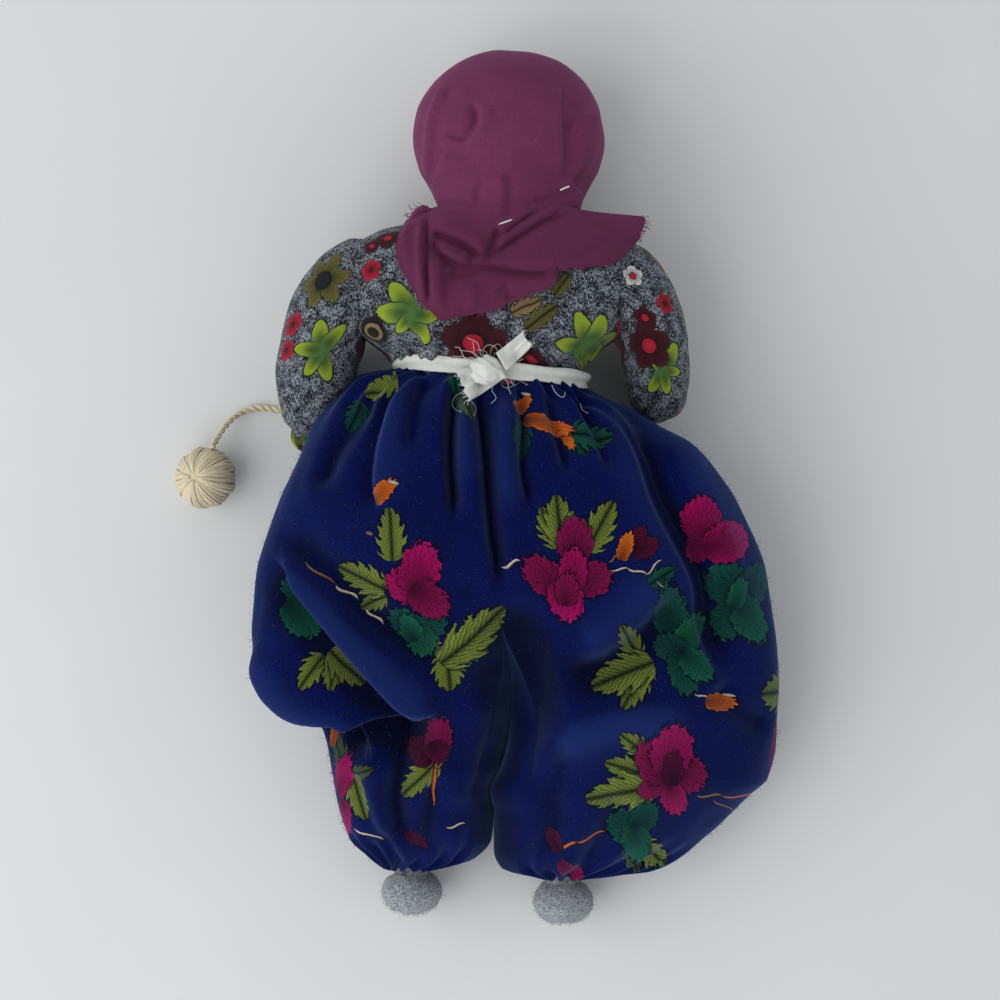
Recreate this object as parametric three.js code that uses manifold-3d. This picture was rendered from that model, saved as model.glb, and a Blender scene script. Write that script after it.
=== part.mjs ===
// A cloth rag doll lying on its front: a stuffed torso in a printed blouse, a head in a headscarf,
// stuffed arms, baggy gathered trousers over stuffed legs, felt feet, and a wool ball on a yarn cord.
// Millimetres. +Y runs from the feet to the head, +X to the doll's right, +Z out of its back.
// The table is the plane z = 0, and the origin is on the front of the trousers just above the hip crease.
import * as THREE from "three";
import { mergeVertices } from "three/addons/utils/BufferGeometryUtils.js";
import Module from "manifold-3d";

const wasm = await Module();
wasm.setup();

// Cloth and fits
const CLOTH = 1.2; // thickness of one sewn cloth wall
const GAP = 0.35; // clearance between neighbouring pieces
const PRESS = 0.5; // how far a stuffed form is flattened where it lies on the table

// Lengths along the body
const ORIGIN_TO_HIP = 4;
const SEAT_LENGTH = 42; // hip crease to waist
const BODICE_LENGTH = 48; // waist to the neck seam
const HEAD_HEIGHT = 50; // rim of the hood to its crown
const HOOD_RIM_RISE = 5; // neck seam to the rim of the hood
const LEFT_LEG_LENGTH = 118; // hip crease to the trouser hem
const RIGHT_LEG_LENGTH = 121;

// Torso
const TORSO_X = -8; // the torso leans a little off the middle of the trousers
const CHEST_WIDTH = 84; // between the armhole seams
const CHEST_BACK = 55; // height of the back above the table
const WAIST_WIDTH = 56;
const WAIST_FRONT = 4;
const WAIST_BACK = 49;
const PELVIS_WIDTH = 64;
const NECK_SEAM_WIDTH = 46;

// Head and neck
const HEAD_X = -2;
const HOOD_WIDTH = 61.4;
const HOOD_DEPTH = 55.4;
const HEAD_Z = 27.8;
const FACE_BULGE = 2.2;
const FACE_OPENING_WIDTH = 35;
const FACE_OPENING_HEIGHT = 28;
const NECK_PIVOT_RISE = 4; // neck seam to the middle of the neck ball
const NECK_BALL_RADIUS = 12;
const GATHER_HEIGHT = 7;
const NOD_ROOM = 5; // free height under the head that lets it nod
const PLEAT_SPACING = 14; // between the folds of the scarf on the shoulders
const PLEAT_HEIGHT = 1.6;
const EYE_SPACING = 17;
const EYE_RISE = 4;
const EYE_WIDTH = 3.2;
const MOUTH_DROP = 10;
const MOUTH_WIDTH = 9;
const MOUTH_THREAD = 1.1;

// Arms
const ARMHOLE_RISE = 27; // waist to the middle of the armhole
const ARMHOLE_Z = 33;
const LEFT_ARM = { side: -1, reach: 26.5, length: 62, name: "left" };
const RIGHT_ARM = { side: 1, reach: 21.5, length: 57, name: "right" };
const SHOULDER_RISE = 41.5; // waist to the top of the sleeve
const SLEEVE_BACK = 49.5; // highest place of the sleeve above the table
const ARM_SWING = 40; // degrees of swing that the sleeve is cut clear of the trousers for
const FOREARM_RADIUS = 6.8;
const WRIST_RADIUS = 5.2;
const FOREARM_LENGTH = 23;
const HAND_LENGTH = 11;
const HAND_RADIUS = 5.4;

// Trousers
const LEG_SPLIT_X = -7; // the plane between the two trouser legs
const LEFT_SPREAD = 77; // from that plane to the widest place of each leg
const RIGHT_SPREAD = 91;
const TROUSERS_BACK = 63; // height of the seat above the table
const LEG_RADIUS = 15; // stuffed leg inside the trousers, at the hip
const LEG_SPACING = 50;
const LEG_Z = 27;

// Feet
const LEFT_ANKLE_X = -33.8;
const RIGHT_ANKLE_X = 15.8;
const ANKLE_Z = 14;
const ANKLE_RADIUS = 6;
const FOOT_WIDTH = 19.6;
const FOOT_HEIGHT = 14.8; // heel to sole, along the leg
const FOOT_DROP = 1.7; // room above the foot that lets it tip
const FOOT_LENGTH = 25.4; // heel to toe

// Waist tie
const TAPE_WIDTH = 5.5;
const TAPE_THICKNESS = 1;
const TIE_TILT = 0.1; // the tie sits lower on the doll's right
const KNOT_SIZE = [9.6, 8, 5.6];
const LEFT_TAIL_LENGTH = 11;
const RIGHT_TAIL_LENGTH = 13;
const TAPE_END_RISE = 4; // the ends stand up over the gathered cloth beside the knot

// Wool ball and its yarn
const YARN_DIAMETER = 2.3;
const WOOL_BALL_RADIUS = 10.3;
const YARN_KNOT_RADIUS = 2.3;
const YARN_TIE_SHARE = 0.35; // where along the forearm the yarn is knotted
const YARN_SIDES = 8;
const YARN_STEPS = 16;

// Places worked out from the sizes
const hipY = -ORIGIN_TO_HIP;
const waistY = hipY + SEAT_LENGTH;
const neckY = waistY + BODICE_LENGTH;
const rimY = neckY + HOOD_RIM_RISE;
const headMidY = rimY + 0.43 * HEAD_HEIGHT;
const neckPivot = new THREE.Vector3(HEAD_X, neckY + NECK_PIVOT_RISE, HEAD_Z);
const armholeY = waistY + ARMHOLE_RISE;

// Materials, one for each cloth or thread
const material = (color, roughness = 0.9) =>
  new THREE.MeshStandardMaterial({ color, roughness, metalness: 0 });
const plumCotton = material(0x6b2b4d);
const skinCalico = material(0xd9b48f);
const flowerPrint = material(0x595c66);
const blueFlannel = material(0x16205e);
const whiteTape = material(0xdfe0dc);
const greyFelt = material(0x7d828a);
const creamWool = material(0xd9cdb4);
const darkThread = material(0x2a1d18);
const redThread = material(0x9c2f38);

// Solids: a closed geometry becomes a manifold solid to be joined or cut, and then a geometry again.
function solid(geometry) {
  const bare = geometry.clone();
  bare.deleteAttribute("normal");
  bare.deleteAttribute("uv");
  const merged = mergeVertices(bare, 1e-4);
  return new wasm.Manifold(
    new wasm.Mesh({
      numProp: 3,
      vertProperties: new Float32Array(merged.attributes.position.array),
      triVerts: new Uint32Array(merged.index.array),
    }),
  );
}

function geometryOf(manifold) {
  const mesh = manifold.getMesh();
  const geometry = new THREE.BufferGeometry();
  geometry.setAttribute("position", new THREE.BufferAttribute(mesh.vertProperties, 3));
  geometry.setIndex(new THREE.BufferAttribute(mesh.triVerts, 1));
  geometry.computeVertexNormals();
  return geometry;
}

function mesh(name, shape, look) {
  const made = new THREE.Mesh(shape.isBufferGeometry ? shape : geometryOf(shape), look);
  made.name = name;
  return made;
}

function box(low, high) {
  const size = new THREE.Vector3().subVectors(high, low);
  const middle = new THREE.Vector3().addVectors(low, high).multiplyScalar(0.5);
  return solid(new THREE.BoxGeometry(...size).translate(...middle));
}

// Longer than any cut has to reach
const beyond = LEFT_LEG_LENGTH + RIGHT_LEG_LENGTH;

// A block that takes away everything between two heights along the body.
const corner = (side, y) => new THREE.Vector3(side * beyond, y, side * beyond);
const slab = (from, to) => box(corner(-1, from), corner(1, to));

function ellipsoid(semi, centre, around = 20, down = 12) {
  return new THREE.SphereGeometry(1, around, down).scale(...semi).translate(...centre);
}

// A closed skin over rings of points that follow each other along +Y, with a fan at each end.
function loft(rings) {
  const count = rings[0].length;
  const points = rings.flat();
  const faces = [];
  for (let k = 0; k + 1 < rings.length; k++) {
    for (let i = 0; i < count; i++) {
      const a = k * count + i;
      const b = k * count + ((i + 1) % count);
      faces.push(a, a + count, b, b, a + count, b + count);
    }
  }
  for (const [k, turn] of [
    [0, 1],
    [rings.length - 1, -1],
  ]) {
    const middle = rings[k].reduce((sum, p) => sum.add(p), new THREE.Vector3()).divideScalar(count);
    const hub = points.push(middle) - 1;
    for (let i = 0; i < count; i++) {
      const edge = [k * count + i, k * count + ((i + 1) % count)];
      faces.push(hub, ...(turn > 0 ? edge : edge.reverse()));
    }
  }
  return new THREE.BufferGeometry().setFromPoints(points).setIndex(faces);
}

// One stuffed cross-section: a rounded box between left and right, low and high, flattened by the table.
const signedPower = (v, power) => Math.sign(v) * Math.abs(v) ** power;

function section(station, count, options = {}) {
  const { y, left, right, low, high, tilt = 0 } = station;
  const { grow = 0, squareness = 2.4, clamp = [] } = options;
  const centre = new THREE.Vector2((left + right) / 2, (low + high) / 2);
  const half = new THREE.Vector2((right - left) / 2 + grow, (high - low) / 2 + grow);
  const [least = -Infinity, most = Infinity] = clamp;
  return Array.from({ length: count }, (_, i) => {
    const angle = (2 * Math.PI * i) / count;
    const across = centre.x + half.x * signedPower(Math.cos(angle), 2 / squareness);
    const up = centre.y + half.y * signedPower(Math.sin(angle), 2 / squareness);
    const x = THREE.MathUtils.clamp(across, least, most);
    return new THREE.Vector3(x, y - tilt * (x - TORSO_X), Math.max(up, 0));
  });
}

// The same cross-section with its points evenly spaced, so that folds find points on the broad back.
function evenSection(station, count, options = {}) {
  const [least = -Infinity, most = Infinity] = options.clamp ?? [];
  const outline = new THREE.CatmullRomCurve3(section(station, 72, options), true);
  return outline
    .getSpacedPoints(count)
    .slice(0, count)
    .map((p) => p.set(THREE.MathUtils.clamp(p.x, least, most), p.y, Math.max(p.z, 0)));
}

// Stations along the body with smooth ones between them.
function smooth(stations, steps) {
  const keys = Object.keys(stations[0]);
  const made = [];
  for (let k = 0; k + 1 < stations.length; k++) {
    const near = [-1, 0, 1, 2].map((i) => stations[THREE.MathUtils.clamp(k + i, 0, stations.length - 1)]);
    for (let s = 0; s < steps; s++) {
      const t = s / steps;
      const at = {};
      for (const key of keys) {
        const [a, b, c, d] = near.map((station) => station[key]);
        at[key] = b + 0.5 * t * (c - a + t * (2 * a - 5 * b + 4 * c - d + t * (3 * (b - c) + d - a)));
      }
      made.push(at);
    }
  }
  return [...made, stations.at(-1)];
}

// Torso: pelvis, waist, chest, sloping shoulders and the neck stump, as half widths about TORSO_X.
const armholes = [TORSO_X - CHEST_WIDTH / 2, TORSO_X + CHEST_WIDTH / 2];
const torsoStations = smooth(
  [
    { along: hipY, half: 0.44 * PELVIS_WIDTH, low: 10, high: WAIST_BACK - 3 },
    { along: hipY + 0.3 * SEAT_LENGTH, half: PELVIS_WIDTH / 2, low: 8, high: WAIST_BACK + 1 },
    { along: waistY, half: WAIST_WIDTH / 2, low: WAIST_FRONT, high: WAIST_BACK },
    { along: waistY + 0.13 * BODICE_LENGTH, half: 0.39 * CHEST_WIDTH, low: 1, high: CHEST_BACK - 2 },
    { along: waistY + 0.3 * BODICE_LENGTH, half: 0.51 * CHEST_WIDTH, low: -PRESS, high: CHEST_BACK },
    { along: waistY + 0.58 * BODICE_LENGTH, half: 0.54 * CHEST_WIDTH, low: -PRESS, high: CHEST_BACK },
    { along: waistY + 0.8 * BODICE_LENGTH, half: 0.52 * CHEST_WIDTH, low: 5, high: CHEST_BACK - 3 },
    { along: waistY + 0.92 * BODICE_LENGTH, half: 0.4 * CHEST_WIDTH, low: 9, high: CHEST_BACK - 6 },
    { along: neckY - GAP, half: NECK_SEAM_WIDTH / 2, low: 11, high: CHEST_BACK - 9 },
  ],
  2,
).map((s) => ({ y: s.along, left: TORSO_X - s.half, right: TORSO_X + s.half, low: s.low, high: s.high }));

const TORSO_COUNT = 26;

// The torso's form grown outwards: past the armhole seams it is cut flat, or left whole to be a cutter.
function torsoForm(grow, from, to, { open = false, tilt = 0 } = {}) {
  const clamp = open ? [] : armholes;
  const kept = torsoStations.filter((s) => s.y >= from && s.y <= to);
  const rings = kept.map((s) => section({ ...s, tilt }, TORSO_COUNT, { grow, clamp }));
  return solid(loft(rings));
}

function makeTorso() {
  const torso = torsoForm(0, hipY, neckY);
  return mesh("torso", torso.subtract(slab(hipY - beyond, hipY + GAP)), skinCalico);
}

const blouseGrow = GAP + CLOTH;
const hemY = waistY - 1;

function makeBlouse() {
  const outside = torsoForm(blouseGrow, hipY, neckY);
  const inside = torsoForm(GAP, hipY, neckY, { open: true });
  return mesh("blouse", outside.intersect(slab(hemY, beyond)).subtract(inside), flowerPrint);
}

// Half the hood's rim as a share of its width, and the gathered neck that nests inside it.
const rimShare = 0.37;
const gatherRadius = rimShare * HOOD_WIDTH - CLOTH - 2 * GAP;

// Scarf: a hood over the head, a gathered ring round the neck, and a three-cornered drape over the shoulders.
function hoodStations(grow) {
  const profile = [
    [0, 2 * rimShare],
    [0.1, 0.8],
    [0.23, 0.925],
    [0.43, 1],
    [0.6, 0.955],
    [0.76, 0.815],
    [0.89, 0.595],
    [0.96, 0.37],
    [1, 0.08],
  ];
  const top = HEAD_HEIGHT + grow;
  return smooth(
    profile.map(([t, width]) => ({ y: rimY + t * top, share: width })),
    2,
  ).map(({ y, share }) => ({
    y,
    left: HEAD_X - (share * HOOD_WIDTH) / 2,
    right: HEAD_X + (share * HOOD_WIDTH) / 2,
    low: HEAD_Z - (share * HOOD_DEPTH) / 2,
    high: HEAD_Z + (share * HOOD_DEPTH) / 2,
  }));
}

const HEAD_COUNT = 22;
const headShrink = -(CLOTH + GAP);

// The stuffed head: the hood's form less its cloth, with the face swelling out through the hood's opening.
function headForm(grow) {
  const rings = hoodStations(grow).map((s) => section(s, HEAD_COUNT, { grow, squareness: 2 }));
  const face = new THREE.Vector2(FACE_OPENING_WIDTH / 2 + 2, FACE_OPENING_HEIGHT / 2 + 2);
  for (const p of rings.flat()) {
    if (p.z > HEAD_Z) continue;
    const away = ((p.x - HEAD_X) / face.x) ** 2 + ((p.y - headMidY) / face.y) ** 2;
    p.z = Math.max(0, p.z - FACE_BULGE * Math.max(0, 1 - away));
  }
  return solid(loft(rings));
}

function makeHead() {
  const underside = slab(-beyond, neckPivot.y + GATHER_HEIGHT / 2 + NOD_ROOM);
  const socket = solid(ellipsoid(Array(3).fill(NECK_BALL_RADIUS + GAP), neckPivot, 22, 12));
  return mesh("head", headForm(headShrink).subtract(underside).subtract(socket), skinCalico);
}

function makeHood() {
  const outside = solid(loft(hoodStations(0).map((s) => section(s, HEAD_COUNT, { squareness: 2 }))));
  const inside = headForm(headShrink + GAP);
  const neck = new THREE.CylinderGeometry(1, 1, NOD_ROOM * 4, HEAD_COUNT);
  neck.scale(rimShare * HOOD_WIDTH - CLOTH, 1, rimShare * HOOD_DEPTH - CLOTH).translate(HEAD_X, rimY, HEAD_Z);
  const face = new THREE.CylinderGeometry(1, 1, HEAD_Z, HEAD_COUNT);
  face.rotateX(Math.PI / 2).scale(FACE_OPENING_WIDTH / 2, FACE_OPENING_HEIGHT / 2, 1);
  face.translate(HEAD_X, headMidY, HEAD_Z / 2 - 6);
  return mesh("scarf_hood", outside.subtract(inside).subtract(solid(neck)).subtract(solid(face)), plumCotton);
}

// The stuffed neck ends in a ball that the head turns and nods on; the gathered scarf goes round it.
const NECK_COUNT = 22;
const neckBase = neckY + GAP;

function makeNeck() {
  const arc = new THREE.EllipseCurve(0, neckPivot.y, NECK_BALL_RADIUS, NECK_BALL_RADIUS, -0.12, Math.PI / 2);
  const dome = arc.getPoints(8).slice(0, -1);
  const foot = new THREE.Vector2(0.8 * NECK_BALL_RADIUS, neckBase);
  const profile = [new THREE.Vector2(0, neckBase), foot, ...dome];
  const top = new THREE.Vector2(0, neckPivot.y + NECK_BALL_RADIUS);
  const shape = new THREE.LatheGeometry([...profile, top], NECK_COUNT).translate(HEAD_X, 0, HEAD_Z);
  return mesh("neck", solid(shape), skinCalico);
}

function makeGather() {
  const bore = NECK_BALL_RADIUS + GAP;
  const bulge = (y) => Math.sqrt(gatherRadius ** 2 - (y - neckPivot.y) ** 2);
  const outside = Array.from({ length: 7 }, (_, i) => {
    const y = neckBase + (GATHER_HEIGHT * i) / 6;
    return new THREE.Vector2(bulge(y), y);
  });
  const ends = [new THREE.Vector2(0, neckBase), new THREE.Vector2(0, neckBase + GATHER_HEIGHT)];
  const shape = new THREE.LatheGeometry([ends[0], ...outside, ends[1]], NECK_COUNT);
  shape.scale(1, 1, HOOD_DEPTH / HOOD_WIDTH).translate(HEAD_X, 0, HEAD_Z);
  const hole = new THREE.CylinderGeometry(bore, bore, 4 * GATHER_HEIGHT, NECK_COUNT).translate(...neckPivot);
  return mesh("scarf_gather", solid(shape).subtract(solid(hole)), plumCotton);
}

function makeDrape() {
  const shape = new THREE.Shape();
  const top = neckY - GAP;
  const tip = waistY + 0.35 * BODICE_LENGTH;
  shape.moveTo(armholes[1] - GAP, top - 7);
  shape.quadraticCurveTo(TORSO_X + 0.45 * CHEST_WIDTH, top, TORSO_X + 0.25 * CHEST_WIDTH, top);
  shape.lineTo(TORSO_X - 0.3 * CHEST_WIDTH, top);
  shape.lineTo(TORSO_X - 0.36 * CHEST_WIDTH, top - 8);
  shape.quadraticCurveTo(TORSO_X - 0.3 * CHEST_WIDTH, tip + 12, TORSO_X - 0.2 * CHEST_WIDTH, tip);
  shape.lineTo(TORSO_X - 0.04 * CHEST_WIDTH, tip);
  shape.lineTo(TORSO_X + 0.25 * CHEST_WIDTH, tip + 14);
  shape.quadraticCurveTo(TORSO_X + 0.42 * CHEST_WIDTH, tip + 16, armholes[1] - GAP, top - 7);
  const column = new THREE.ExtrudeGeometry(shape, {
    depth: CHEST_BACK,
    bevelEnabled: false,
    curveSegments: 6,
  });
  column.translate(0, 0, 0.6 * CHEST_BACK);
  // Soft pleats fan out from the neck and deepen towards the edge.
  const pleat = (x, y) => {
    const fall = THREE.MathUtils.clamp((top - y) / (top - tip), 0, 1);
    const wave = 0.5 + 0.5 * Math.cos((2 * Math.PI * (x - TORSO_X)) / (PLEAT_SPACING * (0.7 + 0.3 * fall)));
    return PLEAT_HEIGHT * (0.4 + 0.6 * fall) * wave;
  };
  const rings = torsoStations
    .filter((s) => s.y > waistY)
    .map((s) => evenSection(s, 60, { grow: blouseGrow + GAP + CLOTH, clamp: armholes }));
  for (const p of rings.flat()) p.z += p.z > 0.6 * CHEST_BACK ? pleat(p.x, p.y) : 0;
  const outside = solid(loft(rings));
  const inside = torsoForm(blouseGrow + GAP, hipY, neckY, { open: true });
  return mesh("scarf_drape", solid(column).intersect(outside).subtract(inside), plumCotton);
}

// Face: two stitched eyes and a stitched mouth, laid on the swell of the head.
function onFace(dx, dy) {
  const size = new THREE.Vector3(HOOD_WIDTH, HEAD_HEIGHT * 1.12, HOOD_DEPTH);
  const semi = size.multiplyScalar(0.5).addScalar(headShrink);
  const depth = Math.sqrt(1 - (dx / semi.x) ** 2 - (dy / semi.y) ** 2);
  const face = new THREE.Vector2(FACE_OPENING_WIDTH / 2 + 2, FACE_OPENING_HEIGHT / 2 + 2);
  const swell = FACE_BULGE * Math.max(0, 1 - (dx / face.x) ** 2 - (dy / face.y) ** 2);
  return new THREE.Vector3(HEAD_X + dx, headMidY + dy, HEAD_Z - semi.z * depth - swell);
}

const clearOfFace = headForm(headShrink + GAP);

function makeEye(side, name) {
  const place = onFace((side * EYE_SPACING) / 2, EYE_RISE);
  const lens = solid(ellipsoid([EYE_WIDTH / 2, EYE_WIDTH / 1.7, EYE_WIDTH / 2.6], place, 12, 6));
  return mesh(name, lens.subtract(clearOfFace), darkThread);
}

function makeMouth() {
  const ends = [-1, 0, 1].map((s) => onFace((s * MOUTH_WIDTH) / 2, -MOUTH_DROP + 1.6 * Math.abs(s)));
  const path = new THREE.QuadraticBezierCurve3(ends[0], ends[1].add(new THREE.Vector3(0, -1.6, 0)), ends[2]);
  const thread = new THREE.Shape().absarc(0, 0, MOUTH_THREAD, 0, 2 * Math.PI);
  const shape = new THREE.ExtrudeGeometry(thread, { extrudePath: path, steps: 6, curveSegments: 4 });
  return mesh("mouth", solid(shape).subtract(clearOfFace), redThread);
}

// Trousers: stations from the waist to the hems, as shares of each side's spread and of the seat's height.
const seatDrop = (share) => waistY - TAPE_WIDTH / 2 - GAP - share * (SEAT_LENGTH - TAPE_WIDTH / 2 - GAP);
const leftAt = (share) => LEG_SPLIT_X - share * LEFT_SPREAD;
const rightAt = (share) => LEG_SPLIT_X + share * RIGHT_SPREAD;
const backAt = (share) => share * TROUSERS_BACK;
// Share of the way from waist to hip crease, shares to the left, right and back, lowest place, and tilt.
const seatShares = [
  [1, 0.892, 0.848, 1, -PRESS, 0],
  [0.66, 0.813, 0.747, 0.985, -PRESS, 0],
  [0.36, 0.722, 0.626, 0.937, -PRESS, 0.05],
  [0.14, 0.623, 0.495, 0.873, 1, 0.08],
  [0.03, 0.52, 0.396, 0.84, 3, TIE_TILT],
  [0, 0.416, 0.34, 0.81, 4, TIE_TILT],
];
const seatStations = smooth(
  seatShares.map(([down, left, right, back, low, tilt]) => ({
    y: seatDrop(down),
    left: leftAt(left),
    right: rightAt(right),
    low,
    high: backAt(back),
    tilt,
  })),
  2,
);

// Each leg from the hip crease to the hem: share of its length, of its spread outside and inside, and of the
// seat's height below and above.
const legDrop = (share, length) => hipY - share * length;
const legShares = {
  left: [
    [0, 0.892, 0, -0.008, 1],
    [0.18, 0.983, 0, -0.008, 0.985],
    [0.33, 1, 0, -0.008, 0.937],
    [0.44, 0.979, 0, -0.008, 0.89],
    [0.52, 0.922, 0, -0.008, 0.84],
    [0.57, 0.805, 0, -0.008, 0.81],
    [0.61, 0.727, 0, -0.008, 0.78],
    [0.72, 0.682, 0, -0.008, 0.715],
    [0.84, 0.649, 0.003, -0.008, 0.62],
    [0.92, 0.61, 0.014, 0.008, 0.525],
    [0.97, 0.532, 0.075, 0.048, 0.43],
    [1, 0.462, 0.234, 0.087, 0.357],
  ],
  right: [
    [0, 0.848, 0, -0.008, 1],
    [0.18, 0.954, 0, -0.008, 0.985],
    [0.36, 0.989, 0, -0.008, 0.937],
    [0.5, 1, 0, -0.008, 0.89],
    [0.63, 0.996, 0, -0.008, 0.825],
    [0.73, 0.967, 0, -0.008, 0.762],
    [0.78, 0.896, 0, -0.008, 0.715],
    [0.87, 0.78, 0, -0.008, 0.62],
    [0.93, 0.692, 0.002, 0.008, 0.525],
    [0.975, 0.571, 0.027, 0.048, 0.43],
    [1, 0.347, 0.154, 0.087, 0.357],
  ],
};
const legLengths = { left: LEFT_LEG_LENGTH, right: RIGHT_LEG_LENGTH };

function legRings(name) {
  const stations = legShares[name].map(([along, outside, inside, low, high]) => {
    const ends = name === "left" ? [leftAt(outside), leftAt(inside)] : [rightAt(inside), rightAt(outside)];
    const y = legDrop(along, legLengths[name]);
    return { y, left: ends[0], right: ends[1], low: backAt(low), high: backAt(high) };
  });
  return smooth(stations.reverse(), 2);
}

// Value of one edge of a leg at a height, from its nearest stations.
function edgeAt(stations, key, y) {
  const k = Math.max(1, stations.findIndex((s) => s.y >= y));
  const [a, b] = [stations[k - 1], stations[k]];
  return THREE.MathUtils.mapLinear(THREE.MathUtils.clamp(y, a.y, b.y), a.y, b.y, a[key], b[key]);
}

// Main folds of the flannel: each a line over the back with its rise (a valley's is below 0) and its width.
// A place is a share of the spread to the doll's left (below 0) or right, and of the left leg's length.
const onBack = ([across, along]) =>
  new THREE.Vector2(across < 0 ? leftAt(-across) : rightAt(across), legDrop(along, LEFT_LEG_LENGTH));
const BROAD_FOLD = 9;
const FOLD = 7;
const trouserFolds = [
  // the roll across the left leg, the crease above it and the pocket under it
  [4.5, FOLD, [[-0.82, 0.12], [-0.62, 0.27], [-0.42, 0.41], [-0.26, 0.52]]],
  [-3.5, FOLD, [[-0.85, 0.06], [-0.62, 0.21], [-0.4, 0.34], [-0.19, 0.48]]],
  [-7, BROAD_FOLD, [[-0.88, 0.24], [-0.75, 0.34], [-0.58, 0.46], [-0.46, 0.55]]],
  // the lip of the bag and the fall to the lower leg
  [3.5, FOLD, [[-0.9, 0.4], [-0.85, 0.48], [-0.73, 0.53], [-0.6, 0.54]]],
  [-5, FOLD, [[-0.7, 0.62], [-0.57, 0.63], [-0.46, 0.62], [-0.28, 0.6]]],
  [-3.5, FOLD, [[-0.38, 0.66], [-0.4, 0.78], [-0.37, 0.93]]],
  // gathers that fall from the waist
  [2.5, FOLD, [[-0.38, -0.18], [-0.42, -0.09], [-0.41, 0.02]]],
  [-3, FOLD, [[-0.48, -0.19], [-0.52, -0.09], [-0.5, 0.02]]],
  [-2.5, FOLD, [[-0.15, -0.3], [-0.18, -0.17], [-0.16, 0.02]]],
  [-3, FOLD, [[-0.05, -0.3], [-0.03, -0.09], [0.02, 0.2]]],
  // the long fold down the right flank, between two swells
  [2, FOLD, [[0.38, -0.19], [0.44, -0.11], [0.51, 0.03], [0.62, 0.21]]],
  [-5, FOLD, [[0.43, -0.25], [0.54, -0.12], [0.61, 0.01], [0.73, 0.2], [0.76, 0.32], [0.84, 0.46]]],
  [2.5, FOLD, [[0.62, -0.16], [0.7, -0.06], [0.76, 0.06], [0.84, 0.3]]],
  // the hollow between the legs, and the ridges across the right leg with a hollow between them
  [-5, FOLD, [[0.02, 0.28], [0.06, 0.38], [0.08, 0.49], [0.05, 0.62], [0.01, 0.74]]],
  [3, BROAD_FOLD, [[0.5, 0.26], [0.42, 0.31], [0.3, 0.38], [0.18, 0.43]]],
  [-5, BROAD_FOLD, [[0.62, 0.26], [0.52, 0.34], [0.38, 0.43], [0.26, 0.48], [0.13, 0.53]]],
  [4, BROAD_FOLD, [[0.1, 0.7], [0.2, 0.64], [0.36, 0.59], [0.53, 0.58], [0.66, 0.59]]],
].map(([rise, width, line]) => ({ rise, width, line: line.map(onBack) }));

function awayFrom(line, place) {
  const gaps = line.slice(1).map((to, k) => {
    const along = to.clone().sub(line[k]);
    const p = place.clone().sub(line[k]);
    const share = THREE.MathUtils.clamp(p.dot(along) / along.lengthSq(), 0, 1);
    return p.distanceTo(along.multiplyScalar(share));
  });
  return Math.min(...gaps);
}

function foldRise(x, y) {
  const place = new THREE.Vector2(x, y);
  let total = 0;
  for (const { rise, width, line } of trouserFolds) {
    total += rise * Math.exp(-((awayFrom(line, place) / width) ** 2));
  }
  return total;
}

function creased(rings) {
  for (const p of rings.flat()) {
    const upper = THREE.MathUtils.smoothstep(p.z, 0.45 * TROUSERS_BACK, 0.75 * TROUSERS_BACK);
    p.z += upper * foldRise(p.x, p.y);
  }
  return rings;
}

const SEAT_COUNT = 40;
const LEG_COUNT = 38;
const PARTING = [0.28, 0.85]; // shares of the leg's length over which the two legs part

function makeSeat() {
  const rings = creased(seatStations.map((s) => evenSection(s, SEAT_COUNT)));
  const pelvis = torsoForm(GAP, hipY, waistY + TAPE_WIDTH, { open: true });
  const blouse = torsoForm(blouseGrow + GAP, hipY, neckY, { open: true }).intersect(slab(hemY - GAP, neckY));
  return solid(loft(rings)).subtract(pelvis).subtract(blouse).subtract(slab(hipY - beyond, hipY + GAP));
}

// A trouser leg is half of one wide bag at the hip and parts into its own balloon towards the hem.
function legForm(name) {
  const own = legRings(name);
  const other = legRings(name === "left" ? "right" : "left");
  const clamp = name === "left" ? [-Infinity, LEG_SPLIT_X - GAP] : [LEG_SPLIT_X + GAP, Infinity];
  const rings = own.map((s) => {
    const part = THREE.MathUtils.smoothstep((hipY - s.y) / LEFT_LEG_LENGTH, ...PARTING);
    const whole = { ...s, left: Math.min(s.left, edgeAt(other, "left", s.y)) };
    whole.right = Math.max(s.right, edgeAt(other, "right", s.y));
    const bag = evenSection(whole, LEG_COUNT, { clamp });
    const balloon = evenSection(s, LEG_COUNT, { clamp });
    return bag.map((p, i) => p.lerp(balloon[i], part));
  });
  return solid(loft(creased(rings)));
}

const ankles = {
  left: new THREE.Vector3(LEFT_ANKLE_X, legDrop(1, LEFT_LEG_LENGTH) + GAP, ANKLE_Z),
  right: new THREE.Vector3(RIGHT_ANKLE_X, legDrop(1, RIGHT_LEG_LENGTH) + GAP, ANKLE_Z),
};

// The stuffed leg inside: it tapers from the hip crease to just above the ankle ball.
function stuffedLeg(name, grow) {
  const ankle = ankles[name];
  const hipX = LEG_SPLIT_X + (name === "left" ? -1 : 1) * (LEG_SPACING / 2);
  const rings = [1, 0.8, 0.55, 0.3, 0.12, 0].map((share) => {
    const radius = THREE.MathUtils.lerp(LEG_RADIUS, ANKLE_RADIUS + 1, share ** 0.8);
    const x = THREE.MathUtils.lerp(hipX, ankle.x, share);
    const z = THREE.MathUtils.lerp(LEG_Z, ankle.z, share);
    const y = THREE.MathUtils.lerp(hipY - GAP + grow * 3, ankle.y + ANKLE_RADIUS + GAP - grow, share);
    return section(
      { y, left: x - radius, right: x + radius, low: z - radius, high: z + radius },
      20,
      { grow, squareness: 2 },
    );
  });
  return solid(loft(rings));
}

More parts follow.
